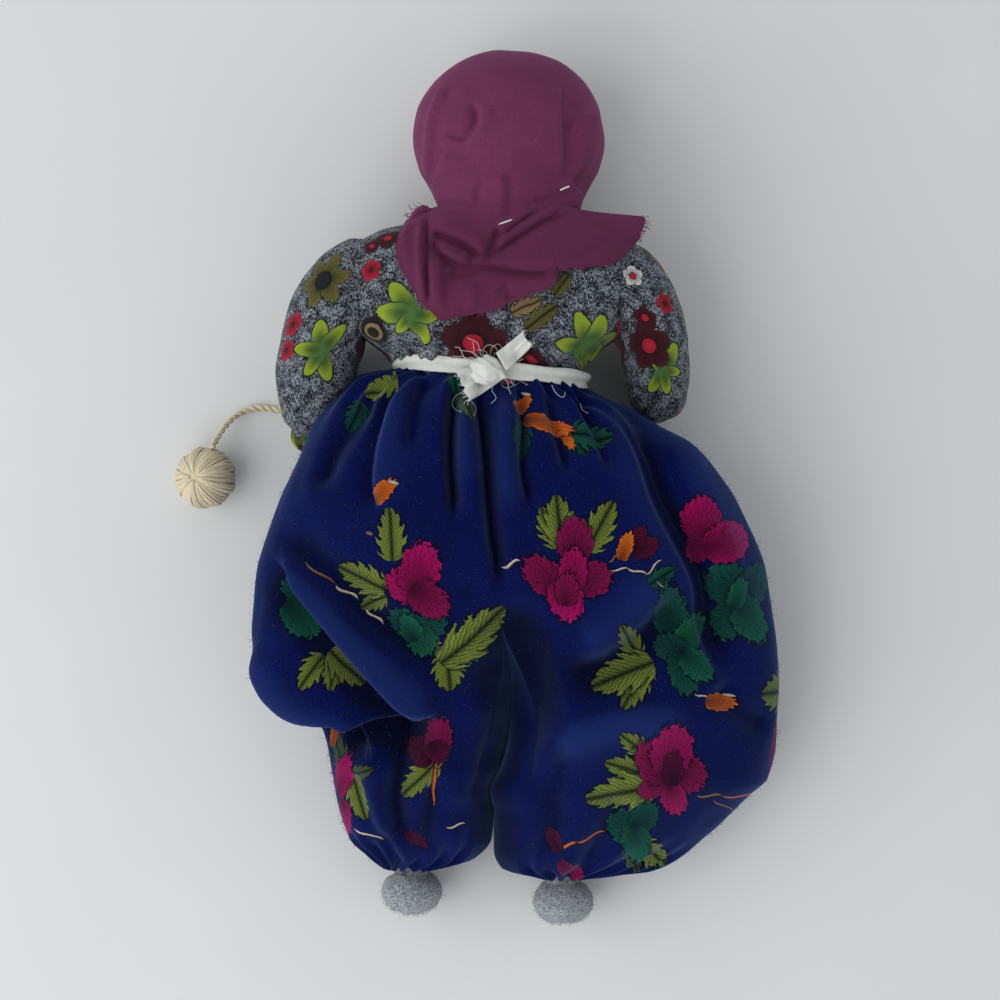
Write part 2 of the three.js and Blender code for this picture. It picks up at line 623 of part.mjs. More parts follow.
function makeLeg(name) {
  const ankle = ankles[name];
  const group = new THREE.Group();
  const socket = solid(ellipsoid(Array(3).fill(ANKLE_RADIUS + GAP), ankle, 20, 14));
  const crease = slab(hipY - GAP, hipY + beyond);
  const cloth = legForm(name).subtract(stuffedLeg(name, GAP)).subtract(socket).subtract(crease);
  group.add(mesh(`trousers_${name}_leg`, cloth, blueFlannel));
  group.add(mesh(`${name}_leg`, stuffedLeg(name, 0), skinCalico));
  group.add(makeFoot(name));
  return group;
}

// Felt foot: a rounded slipper with a ball at the ankle that sits in the gathered hem.
function makeFoot(name) {
  const ankle = ankles[name];
  const middleY = ankle.y - FOOT_HEIGHT / 2 - FOOT_DROP;
  const rings = Array.from({ length: 9 }, (_, i) => {
    const angle = THREE.MathUtils.mapLinear(i, 0, 8, -1.45, 1.45);
    const share = Math.cos(angle);
    return section(
      {
        y: middleY + (FOOT_HEIGHT / 2) * Math.sin(angle),
        left: ankle.x - (share * FOOT_WIDTH) / 2,
        right: ankle.x + (share * FOOT_WIDTH) / 2,
        low: FOOT_LENGTH / 2 - PRESS - (share * FOOT_LENGTH) / 2,
        high: FOOT_LENGTH / 2 - PRESS + (share * FOOT_LENGTH) / 2,
      },
      18,
      { squareness: 2.2 },
    );
  });
  const ball = solid(ellipsoid(Array(3).fill(ANKLE_RADIUS), ankle, 14, 10));
  return mesh(`${name}_foot`, solid(loft(rings)).add(ball), greyFelt);
}

// Arms: a stuffed sleeve from the armhole to the elbow, a forearm folded back under it, and a mitten hand.
function sleeveForm({ side, reach, length }, grow) {
  const seam = side < 0 ? armholes[0] - GAP : armholes[1] + GAP;
  const topY = waistY + SHOULDER_RISE;
  // Share of the sleeve's length, shares of its reach outside and inside, and of its height below and above.
  const profile = [
    [1, 0.62, 0.4, 0.263, 0.545],
    [0.96, 0.83, 0.26, 0.214, 0.626],
    [0.88, 0.96, 0.1, 0.21, 0.727],
    [0.72, 1, 0.03, 0.25, 0.848],
    [0.52, 0.95, -0.1, 0.283, 0.95],
    [0.32, 0.82, -0.5, 0.303, 1],
    [0.17, 0.62, -0.6, 0.364, 0.99],
    [0.07, 0.4, -0.4, 0.444, 0.93],
    [0, 0.12, -0.12, 0.586, 0.788],
  ];
  const rings = smooth(
    profile.map(([share, out, inner, low, high]) => ({ y: topY - share * length, out, inner, low, high })),
    2,
  ).map(({ y, out, inner, low, high }) => {
    const ends = [seam + side * out * reach, seam + side * inner * reach].sort((a, b) => a - b);
    const clamp = side < 0 ? [-Infinity, seam] : [seam, Infinity];
    const heights = { low: low * SLEEVE_BACK, high: high * SLEEVE_BACK };
    return section({ y, left: ends[0], right: ends[1], ...heights }, 20, { grow, squareness: 2.2, clamp });
  });
  return solid(loft(rings));
}

function taperedStub(from, to, radii, bluntness, count = 12) {
  const axis = new THREE.Vector3().subVectors(to, from);
  const length = axis.length();
  const rings = Array.from({ length: 10 }, (_, i) => {
    const share = 0.5 - 0.5 * Math.cos((Math.PI * i) / 9);
    const radius = THREE.MathUtils.lerp(radii[0], radii[1], share);
    const round = Math.sqrt(Math.max(0.03, 1 - Math.abs(2 * share - 1) ** bluntness));
    return Array.from({ length: count }, (_, k) => {
      const point = new THREE.Vector3().setFromCylindricalCoords(radius * round, 0, share * length);
      return point.applyAxisAngle(new THREE.Vector3(0, -1, 0), (2 * Math.PI * k) / count);
    });
  });
  const shape = loft(rings);
  const up = new THREE.Vector3(0, 1, 0);
  shape.applyQuaternion(new THREE.Quaternion().setFromUnitVectors(up, axis.normalize()));
  return solid(shape.translate(...from));
}

const tableCut = box(new THREE.Vector3(-beyond, -beyond, -beyond), new THREE.Vector3(beyond, beyond, 0));

function armPoints({ side, reach, length }) {
  const seam = side < 0 ? armholes[0] - GAP : armholes[1] + GAP;
  const topY = waistY + SHOULDER_RISE;
  const elbow = new THREE.Vector3(seam + side * 0.66 * reach, topY - length + 0.4, FOREARM_RADIUS - PRESS);
  const inward = new THREE.Vector3(-side * 0.38, 0.92, 0).normalize();
  const wrist = elbow.clone().addScaledVector(inward, FOREARM_LENGTH);
  wrist.z = WRIST_RADIUS - PRESS;
  const straight = new THREE.Vector3(-side * 0.05, 1, 0).normalize();
  const palm = wrist.clone().addScaledVector(straight, GAP);
  const tip = palm.clone().addScaledVector(straight, HAND_LENGTH);
  palm.z = HAND_RADIUS - PRESS;
  tip.z = palm.z;
  return { seam, elbow, wrist, palm, tip };
}

function makeArm(arm, trousers) {
  const { elbow, wrist, palm, tip } = armPoints(arm);
  const group = new THREE.Group();
  const sleeve = sleeveForm(arm, 0).subtract(trousers);
  const forearm = taperedStub(elbow, wrist, [FOREARM_RADIUS, WRIST_RADIUS], 6).subtract(tableCut);
  const hand = taperedStub(palm, tip, [HAND_RADIUS, HAND_RADIUS], 2.6).subtract(tableCut);
  const clearForearm = forearm.subtract(sleeveForm(arm, GAP)).subtract(trousers);
  group.add(mesh(`${arm.name}_sleeve`, sleeve, flowerPrint));
  group.add(mesh(`${arm.name}_forearm`, clearForearm, flowerPrint));
  group.add(mesh(`${arm.name}_hand`, hand, skinCalico));
  return group;
}

// Waist tie: a torn cotton tape round the waist, knotted at the back with two short ends.
function makeTie() {
  const group = new THREE.Group();
  const inner = blouseGrow + GAP;
  const ringAt = (y, grow) =>
    section(
      {
        y,
        left: TORSO_X - WAIST_WIDTH / 2,
        right: TORSO_X + WAIST_WIDTH / 2,
        low: WAIST_FRONT,
        high: WAIST_BACK,
        tilt: TIE_TILT,
      },
      TORSO_COUNT,
      { grow },
    );
  const flare = 1.6; // the blouse swells above the waist, so the tape leans out with it
  const bottom = waistY - TAPE_WIDTH / 2 + GAP;
  const top = waistY + TAPE_WIDTH / 2;
  const outside = loft([ringAt(bottom, inner + TAPE_THICKNESS), ringAt(top, inner + flare + TAPE_THICKNESS)]);
  const body = torsoForm(inner, hipY, neckY, { open: true });
  group.add(mesh("waist_tape", solid(outside).subtract(body), whiteTape));

  const knot = new THREE.Vector3(TORSO_X - 1, waistY, WAIST_BACK + inner + flare / 2 + TAPE_THICKNESS);
  knot.z += KNOT_SIZE[2] / 2;
  const semi = KNOT_SIZE.map((size) => size / 2);
  group.add(mesh("waist_knot", solid(ellipsoid(semi, knot, 14, 8)), whiteTape));

  const tail = (name, length, heading) => {
    const profile = new THREE.Shape();
    profile.moveTo(0, 0);
    profile.quadraticCurveTo(0.5 * length, TAPE_END_RISE, length, TAPE_END_RISE);
    profile.lineTo(length, TAPE_END_RISE + TAPE_THICKNESS);
    profile.quadraticCurveTo(0.5 * length, TAPE_END_RISE + TAPE_THICKNESS, 0, TAPE_THICKNESS);
    const across = { depth: TAPE_WIDTH, bevelEnabled: false, curveSegments: 6 };
    const strip = new THREE.ExtrudeGeometry(profile, across);
    strip.translate(semi[0] + GAP, 0, -TAPE_WIDTH / 2).rotateX(Math.PI / 2);
    const made = mesh(name, strip, whiteTape);
    made.position.copy(knot).add(new THREE.Vector3(0, 0, -TAPE_THICKNESS));
    made.rotation.z = heading;
    return made;
  };
  group.add(tail("left_tape_end", LEFT_TAIL_LENGTH, THREE.MathUtils.degToRad(236)));
  group.add(tail("right_tape_end", RIGHT_TAIL_LENGTH, THREE.MathUtils.degToRad(42)));
  return group;
}

// Wool ball: its yarn is knotted at the left wrist, lies out over the table and rises to the ball.
function makeWoolBall() {
  const group = new THREE.Group();
  const { elbow, wrist } = armPoints(LEFT_ARM);
  const along = wrist.clone().sub(elbow).setZ(0).normalize();
  const outward = new THREE.Vector3(-along.y, along.x, 0);
  const armRadius = THREE.MathUtils.lerp(FOREARM_RADIUS, WRIST_RADIUS, YARN_TIE_SHARE);
  const knot = elbow.clone().lerp(wrist, YARN_TIE_SHARE).setZ(YARN_KNOT_RADIUS);
  knot.addScaledVector(outward, armRadius + YARN_KNOT_RADIUS);
  const flat = YARN_DIAMETER / 2;
  const onTable = flat - YARN_KNOT_RADIUS;
  const route = [
    [-YARN_KNOT_RADIUS - GAP - 0.1, -0.6, 0],
    [-6, -1.6, onTable],
    [-11.9, -1, onTable],
    [-17.8, -2.3, onTable + 0.5],
    [-22.6, -6.6, 3],
    [-25.6, -12.2, 8],
    [-26.6, -15, 11],
  ].map((p) => new THREE.Vector3(...p).add(knot));
  const ball = new THREE.Vector3(-29, -24.2, 0).add(knot);
  ball.z = WOOL_BALL_RADIUS - PRESS;
  const last = route.at(-1);
  const out = last.clone().sub(ball).setLength(WOOL_BALL_RADIUS + GAP);
  route[route.length - 1] = ball.clone().add(out);
  const curve = new THREE.CatmullRomCurve3(route, false, "centripetal");
  const yarn = new THREE.Shape().absarc(0, 0, flat, 0, 2 * Math.PI);
  const sweep = { extrudePath: curve, steps: YARN_STEPS, curveSegments: YARN_SIDES / 2 };
  const tube = new THREE.ExtrudeGeometry(yarn, sweep);
  const cutBall = solid(ellipsoid(Array(3).fill(WOOL_BALL_RADIUS + GAP), ball, 20, 12));
  group.add(mesh("yarn_cord", solid(tube).subtract(cutBall).subtract(tableCut), creamWool));
  const wool = solid(ellipsoid(Array(3).fill(WOOL_BALL_RADIUS), ball, 20, 12)).subtract(tableCut);
  group.add(mesh("wool_ball", wool, creamWool));
  const knotBall = solid(ellipsoid(Array(3).fill(YARN_KNOT_RADIUS), knot, 10, 6)).subtract(tableCut);
  group.add(mesh("yarn_knot", knotBall, creamWool));
  return group;
}

const seat = makeSeat();

// The room that the seat takes up as an arm swings forward, so that the sleeve is cut clear of it.
function seatSeenFromArm() {
  const rings = creased(seatStations.map((s) => evenSection(s, SEAT_COUNT, { grow: GAP })));
  const whole = loft(rings).translate(0, -armholeY, -ARMHOLE_Z);
  const turns = [0, 0.25, 0.5, 1].map((share) => THREE.MathUtils.degToRad(-share * ARM_SWING));
  const seen = turns.map((turn) => solid(whole.clone().rotateX(turn).translate(0, armholeY, ARMHOLE_Z)));
  return seen.reduce((all, one) => all.add(one));
}

const seatCutter = seatSeenFromArm();

const doll = new THREE.Group();
doll.add(makeTorso(), makeBlouse(), makeTie(), makeDrape());
doll.add(mesh("trousers_seat", seat, blueFlannel));
doll.add(makeNeck(), makeGather());
doll.add(makeHead(), makeHood(), makeEye(-1, "left_eye"), makeEye(1, "right_eye"), makeMouth());
doll.add(makeArm(LEFT_ARM, seatCutter), makeArm(RIGHT_ARM, seatCutter));
doll.add(makeLeg("left"), makeLeg("right"));
doll.add(makeWoolBall());
doll.name = "rag_doll";

export default doll;
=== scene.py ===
import itertools
import math

import bpy
import numpy as np
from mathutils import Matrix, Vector
from mathutils.bvhtree import BVHTree


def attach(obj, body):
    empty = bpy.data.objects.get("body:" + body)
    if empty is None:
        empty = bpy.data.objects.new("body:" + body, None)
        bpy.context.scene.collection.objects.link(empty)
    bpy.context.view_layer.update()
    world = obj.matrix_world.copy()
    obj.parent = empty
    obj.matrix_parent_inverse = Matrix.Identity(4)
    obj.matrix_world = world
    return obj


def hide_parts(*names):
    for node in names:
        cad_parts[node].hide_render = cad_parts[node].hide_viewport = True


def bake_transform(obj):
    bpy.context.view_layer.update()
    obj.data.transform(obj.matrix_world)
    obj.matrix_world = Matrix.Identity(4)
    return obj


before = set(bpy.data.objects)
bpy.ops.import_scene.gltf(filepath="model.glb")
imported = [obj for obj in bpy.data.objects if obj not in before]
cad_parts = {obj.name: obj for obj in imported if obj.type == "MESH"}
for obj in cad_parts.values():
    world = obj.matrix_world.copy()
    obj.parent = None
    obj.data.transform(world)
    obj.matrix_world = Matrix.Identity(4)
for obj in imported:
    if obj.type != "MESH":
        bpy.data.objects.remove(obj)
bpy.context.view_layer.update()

# Lengths here are millimetres in the frame of the solids; a mesh is scaled to metres when it is made.
MM = 0.001

# The photograph looks straight down; a pixel is 0.32 mm at the height of the doll's middle.
PIXELS = 1000
PIXEL_SIZE = 0.32
VIEW_PLANE_Z = 30
VIEW_DISTANCE = 800
EYE = np.array([-4.96, -2.88, VIEW_PLANE_Z + VIEW_DISTANCE])

# Sizes of the doll that the cloth pieces are made from
TORSO_X = -8
HEAD_X, HEAD_Z = -2, 27.8
WAIST_Y, WAISTBAND_Y, RIM_Y, CROWN_Y, HIP_Y = 38, 36.6, 91, 141, -4
HOOD_WIDTH, HOOD_DEPTH, HEAD_HEIGHT = 61.4, 55.4, 50
FACE_Y = RIM_Y + 0.43 * HEAD_HEIGHT
ARMHOLES = (-50, 34)
SPLIT_X = -7
TROUSERS_BACK = 63
# Lowest place of cloth and of threads that lie on the table
CLOTH_FLOOR, THREAD_FLOOR = 0.05, 0.02
# Cells of the noise each way, steps between two points of a curve, and points of a cross section
NOISE_CELLS, CURVE_STEPS, SECTION_POINTS = 24, 24, 1440


# Numbers and curves
def smoothstep(value, low, high):
    share = np.clip((value - low) / (high - low), 0, 1)
    return share * share * (3 - 2 * share)


def eased(stations, at):
    """A smooth curve through (place, value) stations that never swings past them."""
    x, y = np.array(sorted(stations), float).T
    rise = np.diff(y) / np.diff(x)
    slope = np.zeros_like(y)
    same = rise[:-1] * rise[1:] > 0
    total = np.where(same, rise[:-1] + rise[1:], 1)
    slope[1:-1] = np.where(same, 2 * rise[:-1] * rise[1:] / total, 0)
    slope[0], slope[-1] = rise[0], rise[-1]
    at = np.clip(at, x[0], x[-1])
    k = np.clip(np.searchsorted(x, at, side="right") - 1, 0, len(rise) - 1)
    wide = x[k + 1] - x[k]
    t = (at - x[k]) / wide
    ends = y[k] * (1 + 2 * t) * (1 - t) ** 2 + y[k + 1] * t**2 * (3 - 2 * t)
    return ends + wide * t * (1 - t) * (slope[k] * (1 - t) - slope[k + 1] * t)


def eased_columns(rows, at):
    """Every later column of a table of stations, as a smooth curve over its first column."""
    first, *others = zip(*rows)
    return [eased(list(zip(first, column)), at) for column in others]


def ripple(points, size, seed):
    """Smooth noise from -1 to 1 over points in space, with bumps of about the given size."""
    lattice = np.random.default_rng(seed).uniform(-1, 1, (NOISE_CELLS,) * 3)
    spot = np.asarray(points, float) / size
    cell = np.floor(spot).astype(int)
    share = spot - cell
    share = share * share * (3 - 2 * share)
    total = np.zeros(spot.shape[:-1])
    for corner in itertools.product((0, 1), repeat=3):
        weight = np.prod(np.where(corner, share, 1 - share), axis=-1)
        total += weight * lattice[tuple(np.moveaxis((cell + corner) % NOISE_CELLS, -1, 0))]
    return total


def curve_through(points, count):
    """A centripetal curve through given points, evenly sampled."""
    p = np.asarray(points, float)
    p = np.vstack([2 * p[0] - p[1], p, 2 * p[-1] - p[-2]])
    knots = np.concatenate([[0], np.cumsum(np.sqrt(np.linalg.norm(np.diff(p, axis=0), axis=1)))])
    fine = []
    for k in range(1, len(p) - 2):
        t = np.linspace(knots[k], knots[k + 1], CURVE_STEPS)[:, None]
        t0, t1, t2, t3 = knots[k - 1 : k + 3]
        a1 = ((t1 - t) * p[k - 1] + (t - t0) * p[k]) / (t1 - t0)
        a2 = ((t2 - t) * p[k] + (t - t1) * p[k + 1]) / (t2 - t1)
        a3 = ((t3 - t) * p[k + 1] + (t - t2) * p[k + 2]) / (t3 - t2)
        b1 = ((t2 - t) * a1 + (t - t0) * a2) / (t2 - t0)
        b2 = ((t3 - t) * a2 + (t - t1) * a3) / (t3 - t1)
        fine.append(((t2 - t) * b1 + (t - t1) * b2) / (t2 - t1))
    return even(np.vstack(fine), count)


def lengths(line):
    return np.concatenate([[0], np.cumsum(np.linalg.norm(np.diff(line, axis=0), axis=1))])


def even(line, count):
    far = lengths(line)
    at = np.linspace(0, far[-1], count)
    return np.stack([np.interp(at, far, line[:, i]) for i in range(line.shape[1])], axis=1)


def unit(v):
    return v / np.maximum(np.linalg.norm(v, axis=-1, keepdims=True), 1e-12)


# The photograph's pixels and the places under them
def pixels_of(points):
    scale = VIEW_DISTANCE / (PIXEL_SIZE * (EYE[2] - points[..., 2]))
    across = PIXELS / 2 + (points[..., 0] - EYE[0]) * scale
    down = PIXELS / 2 - (points[..., 1] - EYE[1]) * scale
    return np.stack([across, down], axis=-1)


def under_pixel(pixel, z):
    scale = PIXEL_SIZE * (EYE[2] - z) / VIEW_DISTANCE
    return np.stack([
        EYE[0] + (pixel[..., 0] - PIXELS / 2) * scale,
        EYE[1] - (pixel[..., 1] - PIXELS / 2) * scale,
        np.broadcast_to(z, pixel[..., 0].shape),
    ], axis=-1)


FOLD_ENDS = 0.22
LEAN_FADE = (22, 3)


class Stroke:
    """A fold drawn through pixels: how far each place is from it, on which side, and the way to its right."""

    def __init__(self, pixels, path):
        line = curve_through(path, 4 * len(path) + 8)
        self.away = np.full(pixels.shape[:-1], 1e9)
        self.left, self.share = np.zeros(self.away.shape, bool), np.zeros(self.away.shape)
        self.rightward = np.zeros(pixels.shape)
        for k, (a, b) in enumerate(zip(line[:-1], line[1:])):
            step = b - a
            t = np.clip((pixels - a) @ step / (step @ step), 0, 1)
            off = pixels - a - t[..., None] * step
            away = np.hypot(off[..., 0], off[..., 1])
            closer = away < self.away
            self.away = np.where(closer, away, self.away)
            self.left = np.where(closer, step[1] * off[..., 0] > step[0] * off[..., 1], self.left)
            self.share = np.where(closer, (k + t) / (len(line) - 1), self.share)
            self.rightward = np.where(closer[..., None], unit(np.array([-step[1], -step[0]])), self.rightward)

    def weight(self, left, right):
        """1 on the path, fading over so many pixels on its left and right, and towards its two ends."""
        ends = smoothstep(self.share, 0, FOLD_ENDS) * smoothstep(1 - self.share, 0, FOLD_ENDS)
        return np.exp(-((self.away / np.where(self.left, left, right)) ** 2)) * ends


def folded(pixels, folds):
    """Height of the folds, in millimetres, and how far each place leans over sideways."""
    height, lean = np.zeros(pixels.shape[:-1]), np.zeros(pixels.shape)
    for path, ridges, over in folds:
        reach = 3 * max(max(left, right) for _, left, right in ridges)
        low, high = np.min(path, axis=0) - reach, np.max(path, axis=0) + reach
        hit = np.all((pixels > low) & (pixels < high), axis=-1)
        stroke = Stroke(pixels[hit], np.array(path, float))
        for rise, left, right in ridges:
            height[hit] += rise * stroke.weight(left, right)
        if over:
            lean[hit] += over * stroke.weight(*LEAN_FADE)[..., None] * stroke.rightward
    return height, lean


def plain_folds(folds):
    return [(path, [(rise, left, right)], 0) for rise, left, right, path in folds]


# Meshes
def add_object(name, points, faces, material):
    mesh = bpy.data.meshes.new(name)
    mesh.from_pydata((np.asarray(points) * MM).tolist(), [], faces)
    mesh.polygons.foreach_set("use_smooth", np.ones(len(mesh.polygons), bool))
    mesh.materials.append(material)
    made = bpy.data.objects.new(name, mesh)
    bpy.context.scene.collection.objects.link(made)
    return made


def grid_normals(rings, closed=True):
    if closed:
        around = np.roll(rings, -1, 1) - np.roll(rings, 1, 1)
    else:
        around = np.gradient(rings, axis=1)
    normal = unit(np.cross(np.gradient(rings, axis=0), around))
    middle = rings.mean(axis=1, keepdims=True)
    outwards = np.sum(normal * (rings - middle))
    return normal if outwards > 0 else -normal


# A place on a motif that no motif reaches
OFF_MOTIF = 9.0


class Skin:
    """Cloth as a grid of rings, with the place of each face corner on the flat cloth."""

    def __init__(self, rings, across, along, caps=(False, False), closed=True):
        self.rings, self.closed = rings, closed
        rows, columns = rings.shape[:2]
        steps = columns if closed else columns - 1
        self.cloth = np.stack([across, along], axis=-1)
        r, c = np.meshgrid(np.arange(rows - 1), np.arange(steps), indexing="ij")
        r, c = r.ravel(), c.ravel()
        turn = [(0, 0), (0, 1), (1, 1), (1, 0)]
        self.faces = np.stack([(r + i) * columns + (c + j) % columns for i, j in turn], axis=1)
        self.corners = np.stack([self.cloth[r + i, c + j] for i, j in turn], axis=1)
        points = rings.reshape(-1, 3)
        quad = points[self.faces]
        normal = np.cross(quad[:, 1] - quad[:, 0], quad[:, 3] - quad[:, 0])
        middle = rings.mean(axis=1)[r] if closed else points.mean(axis=0) - [0, 0, 1e3]
        if np.sum(normal * (quad.mean(axis=1) - middle)) < 0:
            self.faces, self.corners = self.faces[:, ::-1], self.corners[:, ::-1]
        self.bare = np.zeros(len(self.faces), bool)
        capped = [row for row, cap in zip((0, rows - 1), caps) if cap]
        self.caps = [list(range(row * columns, (row + 1) * columns)) for row in capped]
        self.prints = {}
        self.painted_fold_shading = None

    def open_at(self, inside, edge):
        """Cuts an opening: drops the faces whose middle is inside, and moves the rim's points to the edge."""
        points = self.points
        gone = inside(points[self.faces].mean(axis=1))
        rim = np.intersect1d(self.faces[gone], self.faces[~gone])
        points[rim] = edge(points[rim])
        self.faces, self.corners, self.bare = self.faces[~gone], self.corners[~gone], self.bare[~gone]

    @property
    def points(self):
        return self.rings.reshape(-1, 3)

    def make(self, name, material):
        used = np.unique(np.concatenate([self.faces.ravel(), *map(np.array, self.caps)]).astype(int))
        index = np.zeros(len(self.points), int)
        index[used] = np.arange(len(used))
        faces = index[self.faces].tolist() + [index[cap].tolist() for cap in self.caps]
        made = add_object(name, self.points[used], faces, material)
        extra = sum(len(cap) for cap in self.caps)
        cloth = np.vstack([self.corners.reshape(-1, 2), np.zeros((extra, 2))])
        flat = np.column_stack([cloth, np.zeros(len(cloth))])
        put(made, "cloth", "FLOAT_VECTOR", "vector", flat)
        # fold heights and the valley, which the material paints as highlight and shade
        if self.painted_fold_shading is not None:
            painted_fold_shading = self.painted_fold_shading.ravel()[self.faces].ravel()
            put(made, "painted_fold_shading", "FLOAT", "value", np.concatenate([painted_fold_shading, np.zeros(extra)]))
        for layer, (place, ink) in self.prints.items():
            off = np.full((extra, 3), OFF_MOTIF)
            put(made, f"print_{layer}", "FLOAT_VECTOR", "vector", np.vstack([place.reshape(-1, 3), off]))
            colour = np.vstack([np.repeat(ink, 4, axis=0), np.zeros((extra, 4))])
            put(made, f"ink_{layer}", "FLOAT_COLOR", "color", colour)
        return made


def put(made, name, kind, field, values):
    made.data.attributes.new(name, kind, "CORNER").data.foreach_set(field, values.astype(np.float32).ravel())


def frames_along(path):
    """Two directions square to a path at each of its points, turned as little as possible."""
    ahead = unit(np.gradient(path, axis=0))
    first = np.cross(ahead[0], [0.3, 0.2, 1])
    sides = [unit(first)]
    for direction in ahead[1:]:
        side = sides[-1] - direction * (sides[-1] @ direction)
        sides.append(unit(side))
    sides = np.array(sides)
    return sides, np.cross(ahead, sides)


def tube_points(path, radius, sides):
    side, up = frames_along(path)
    turn = np.linspace(0, 2 * np.pi, sides, endpoint=False)
    radius = np.broadcast_to(radius, len(path))[:, None, None]
    ring = side[:, None] * np.cos(turn)[:, None] + up[:, None] * np.sin(turn)[:, None]
    return path[:, None] + radius * ring


def strands(name, paths, radii, material, sides=5, floor=None):
    """Many threads or yarns as round tubes in one mesh."""
    points, faces = [], []
    for path, radius in zip(paths, radii):
        rings = tube_points(path, radius, sides)
        start, rows = sum(len(p) for p in points), len(path)
        points.append(rings.reshape(-1, 3))
        for r in range(rows - 1):
            for c in range(sides):
                a, b = start + r * sides + c, start + r * sides + (c + 1) % sides
                faces.append((a, b, b + sides, a + sides))
        faces.append(tuple(start + c for c in reversed(range(sides))))
        faces.append(tuple(start + (rows - 1) * sides + c for c in range(sides)))
    points = np.vstack(points)
    if floor is not None:
        points[:, 2] = np.maximum(points[:, 2], floor)
    return add_object(name, points, faces, material)


def rounded_section(left, right, low, high, squareness):
    turn = np.linspace(0, 2 * np.pi, SECTION_POINTS, endpoint=False)
    power = 2 / squareness
    x = (left + right) / 2 + (right - left) / 2 * np.sign(np.cos(turn)) * np.abs(np.cos(turn)) ** power
    z = (low + high) / 2 + (high - low) / 2 * np.sign(np.sin(turn)) * np.abs(np.sin(turn)) ** power
    return np.stack([x, np.maximum(z, 0)], axis=1)


def ring_from(section, count, start):
    """An evenly spaced ring of count points round a closed section, from the point nearest start."""
    first = np.argmin(np.linalg.norm(section - start, axis=1))
    turned = np.roll(section, -first, axis=0)
    return even(np.vstack([turned, turned[:1]]), count + 1)[:-1]


def ring_at(y, section, count, start):
    """The same, as a ring that stands across the body at y."""
    x, z = ring_from(section, count, np.array(start)).T
    return np.stack([x, np.full(count, y), z], axis=1)


def held_outside(x, edge, side):
    """Keeps places on the outer side of an edge, for the left (-1) or the right (1) of the doll."""
    return np.minimum(x, edge) if side < 0 else np.maximum(x, edge)


def ring_cloth(rings, zero_column):
    """Arc length round each ring, from the given column, with a closing column added."""
    closed = np.concatenate([rings, rings[:, :1]], axis=1)
    far = np.cumsum(np.linalg.norm(np.diff(closed, axis=1), axis=2), axis=1)
    far = np.concatenate([np.zeros((len(rings), 1)), far], axis=1)
    return far - far[:, zero_column : zero_column + 1]


def along_columns(rings):
    """Arc length down each column, with a closing column added."""
    steps = np.linalg.norm(np.diff(rings, axis=0), axis=2)
    far = np.concatenate([rings[:1, :, 1], steps]).cumsum(axis=0)
    return np.concatenate([far, far[:, :1]], axis=1)


def along_rows(rings):
    y = rings[..., 1]
    return np.concatenate([y, y[:, :1]], axis=1)


def solid_tree(node):
    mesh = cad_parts[node].data
    corners = [v.co / MM for v in mesh.vertices]
    return BVHTree.FromPolygons(corners, [tuple(p.vertices) for p in mesh.polygons])


def hug(rings, node, reach):
    """Pulls in what stands further than reach outside a solid, so that a sleeve keeps the solid's cuts."""
    tree = solid_tree(node)
    for point in rings.reshape(-1, 3):
        place, normal, _, away = tree.find_nearest(Vector(point))
        if away > reach and (Vector(point) - place).dot(normal) > 0:
            point[:] = place + (Vector(point) - place) * (reach / away)
    return rings


# Materials: values flow through the nodes and are added, scaled and compared like numbers.
def linear(*display):
    """The linear colour of a display colour given from 0 to 255."""
    shares = [c / 255 for c in display]
    return (*(s / 12.92 if s <= 0.04 else ((s + 0.055) / 1.055) ** 2.4 for s in shares), 1.0)


class Flow:
    def __init__(self, look, socket):
        self.look, self.socket = look, socket

    def __add__(self, other):
        return self.look.math("ADD", self, other)

    def __sub__(self, other):
        return self.look.math("SUBTRACT", self, other)

    def __rsub__(self, other):
        return self.look.math("SUBTRACT", other, self)

    def __mul__(self, other):
        return self.look.math("MULTIPLY", self, other)

    def __pow__(self, other):
        return self.look.math("POWER", self, other)

    def __abs__(self):
        return self.look.math("ABSOLUTE", self)

    __radd__, __rmul__ = __add__, __mul__


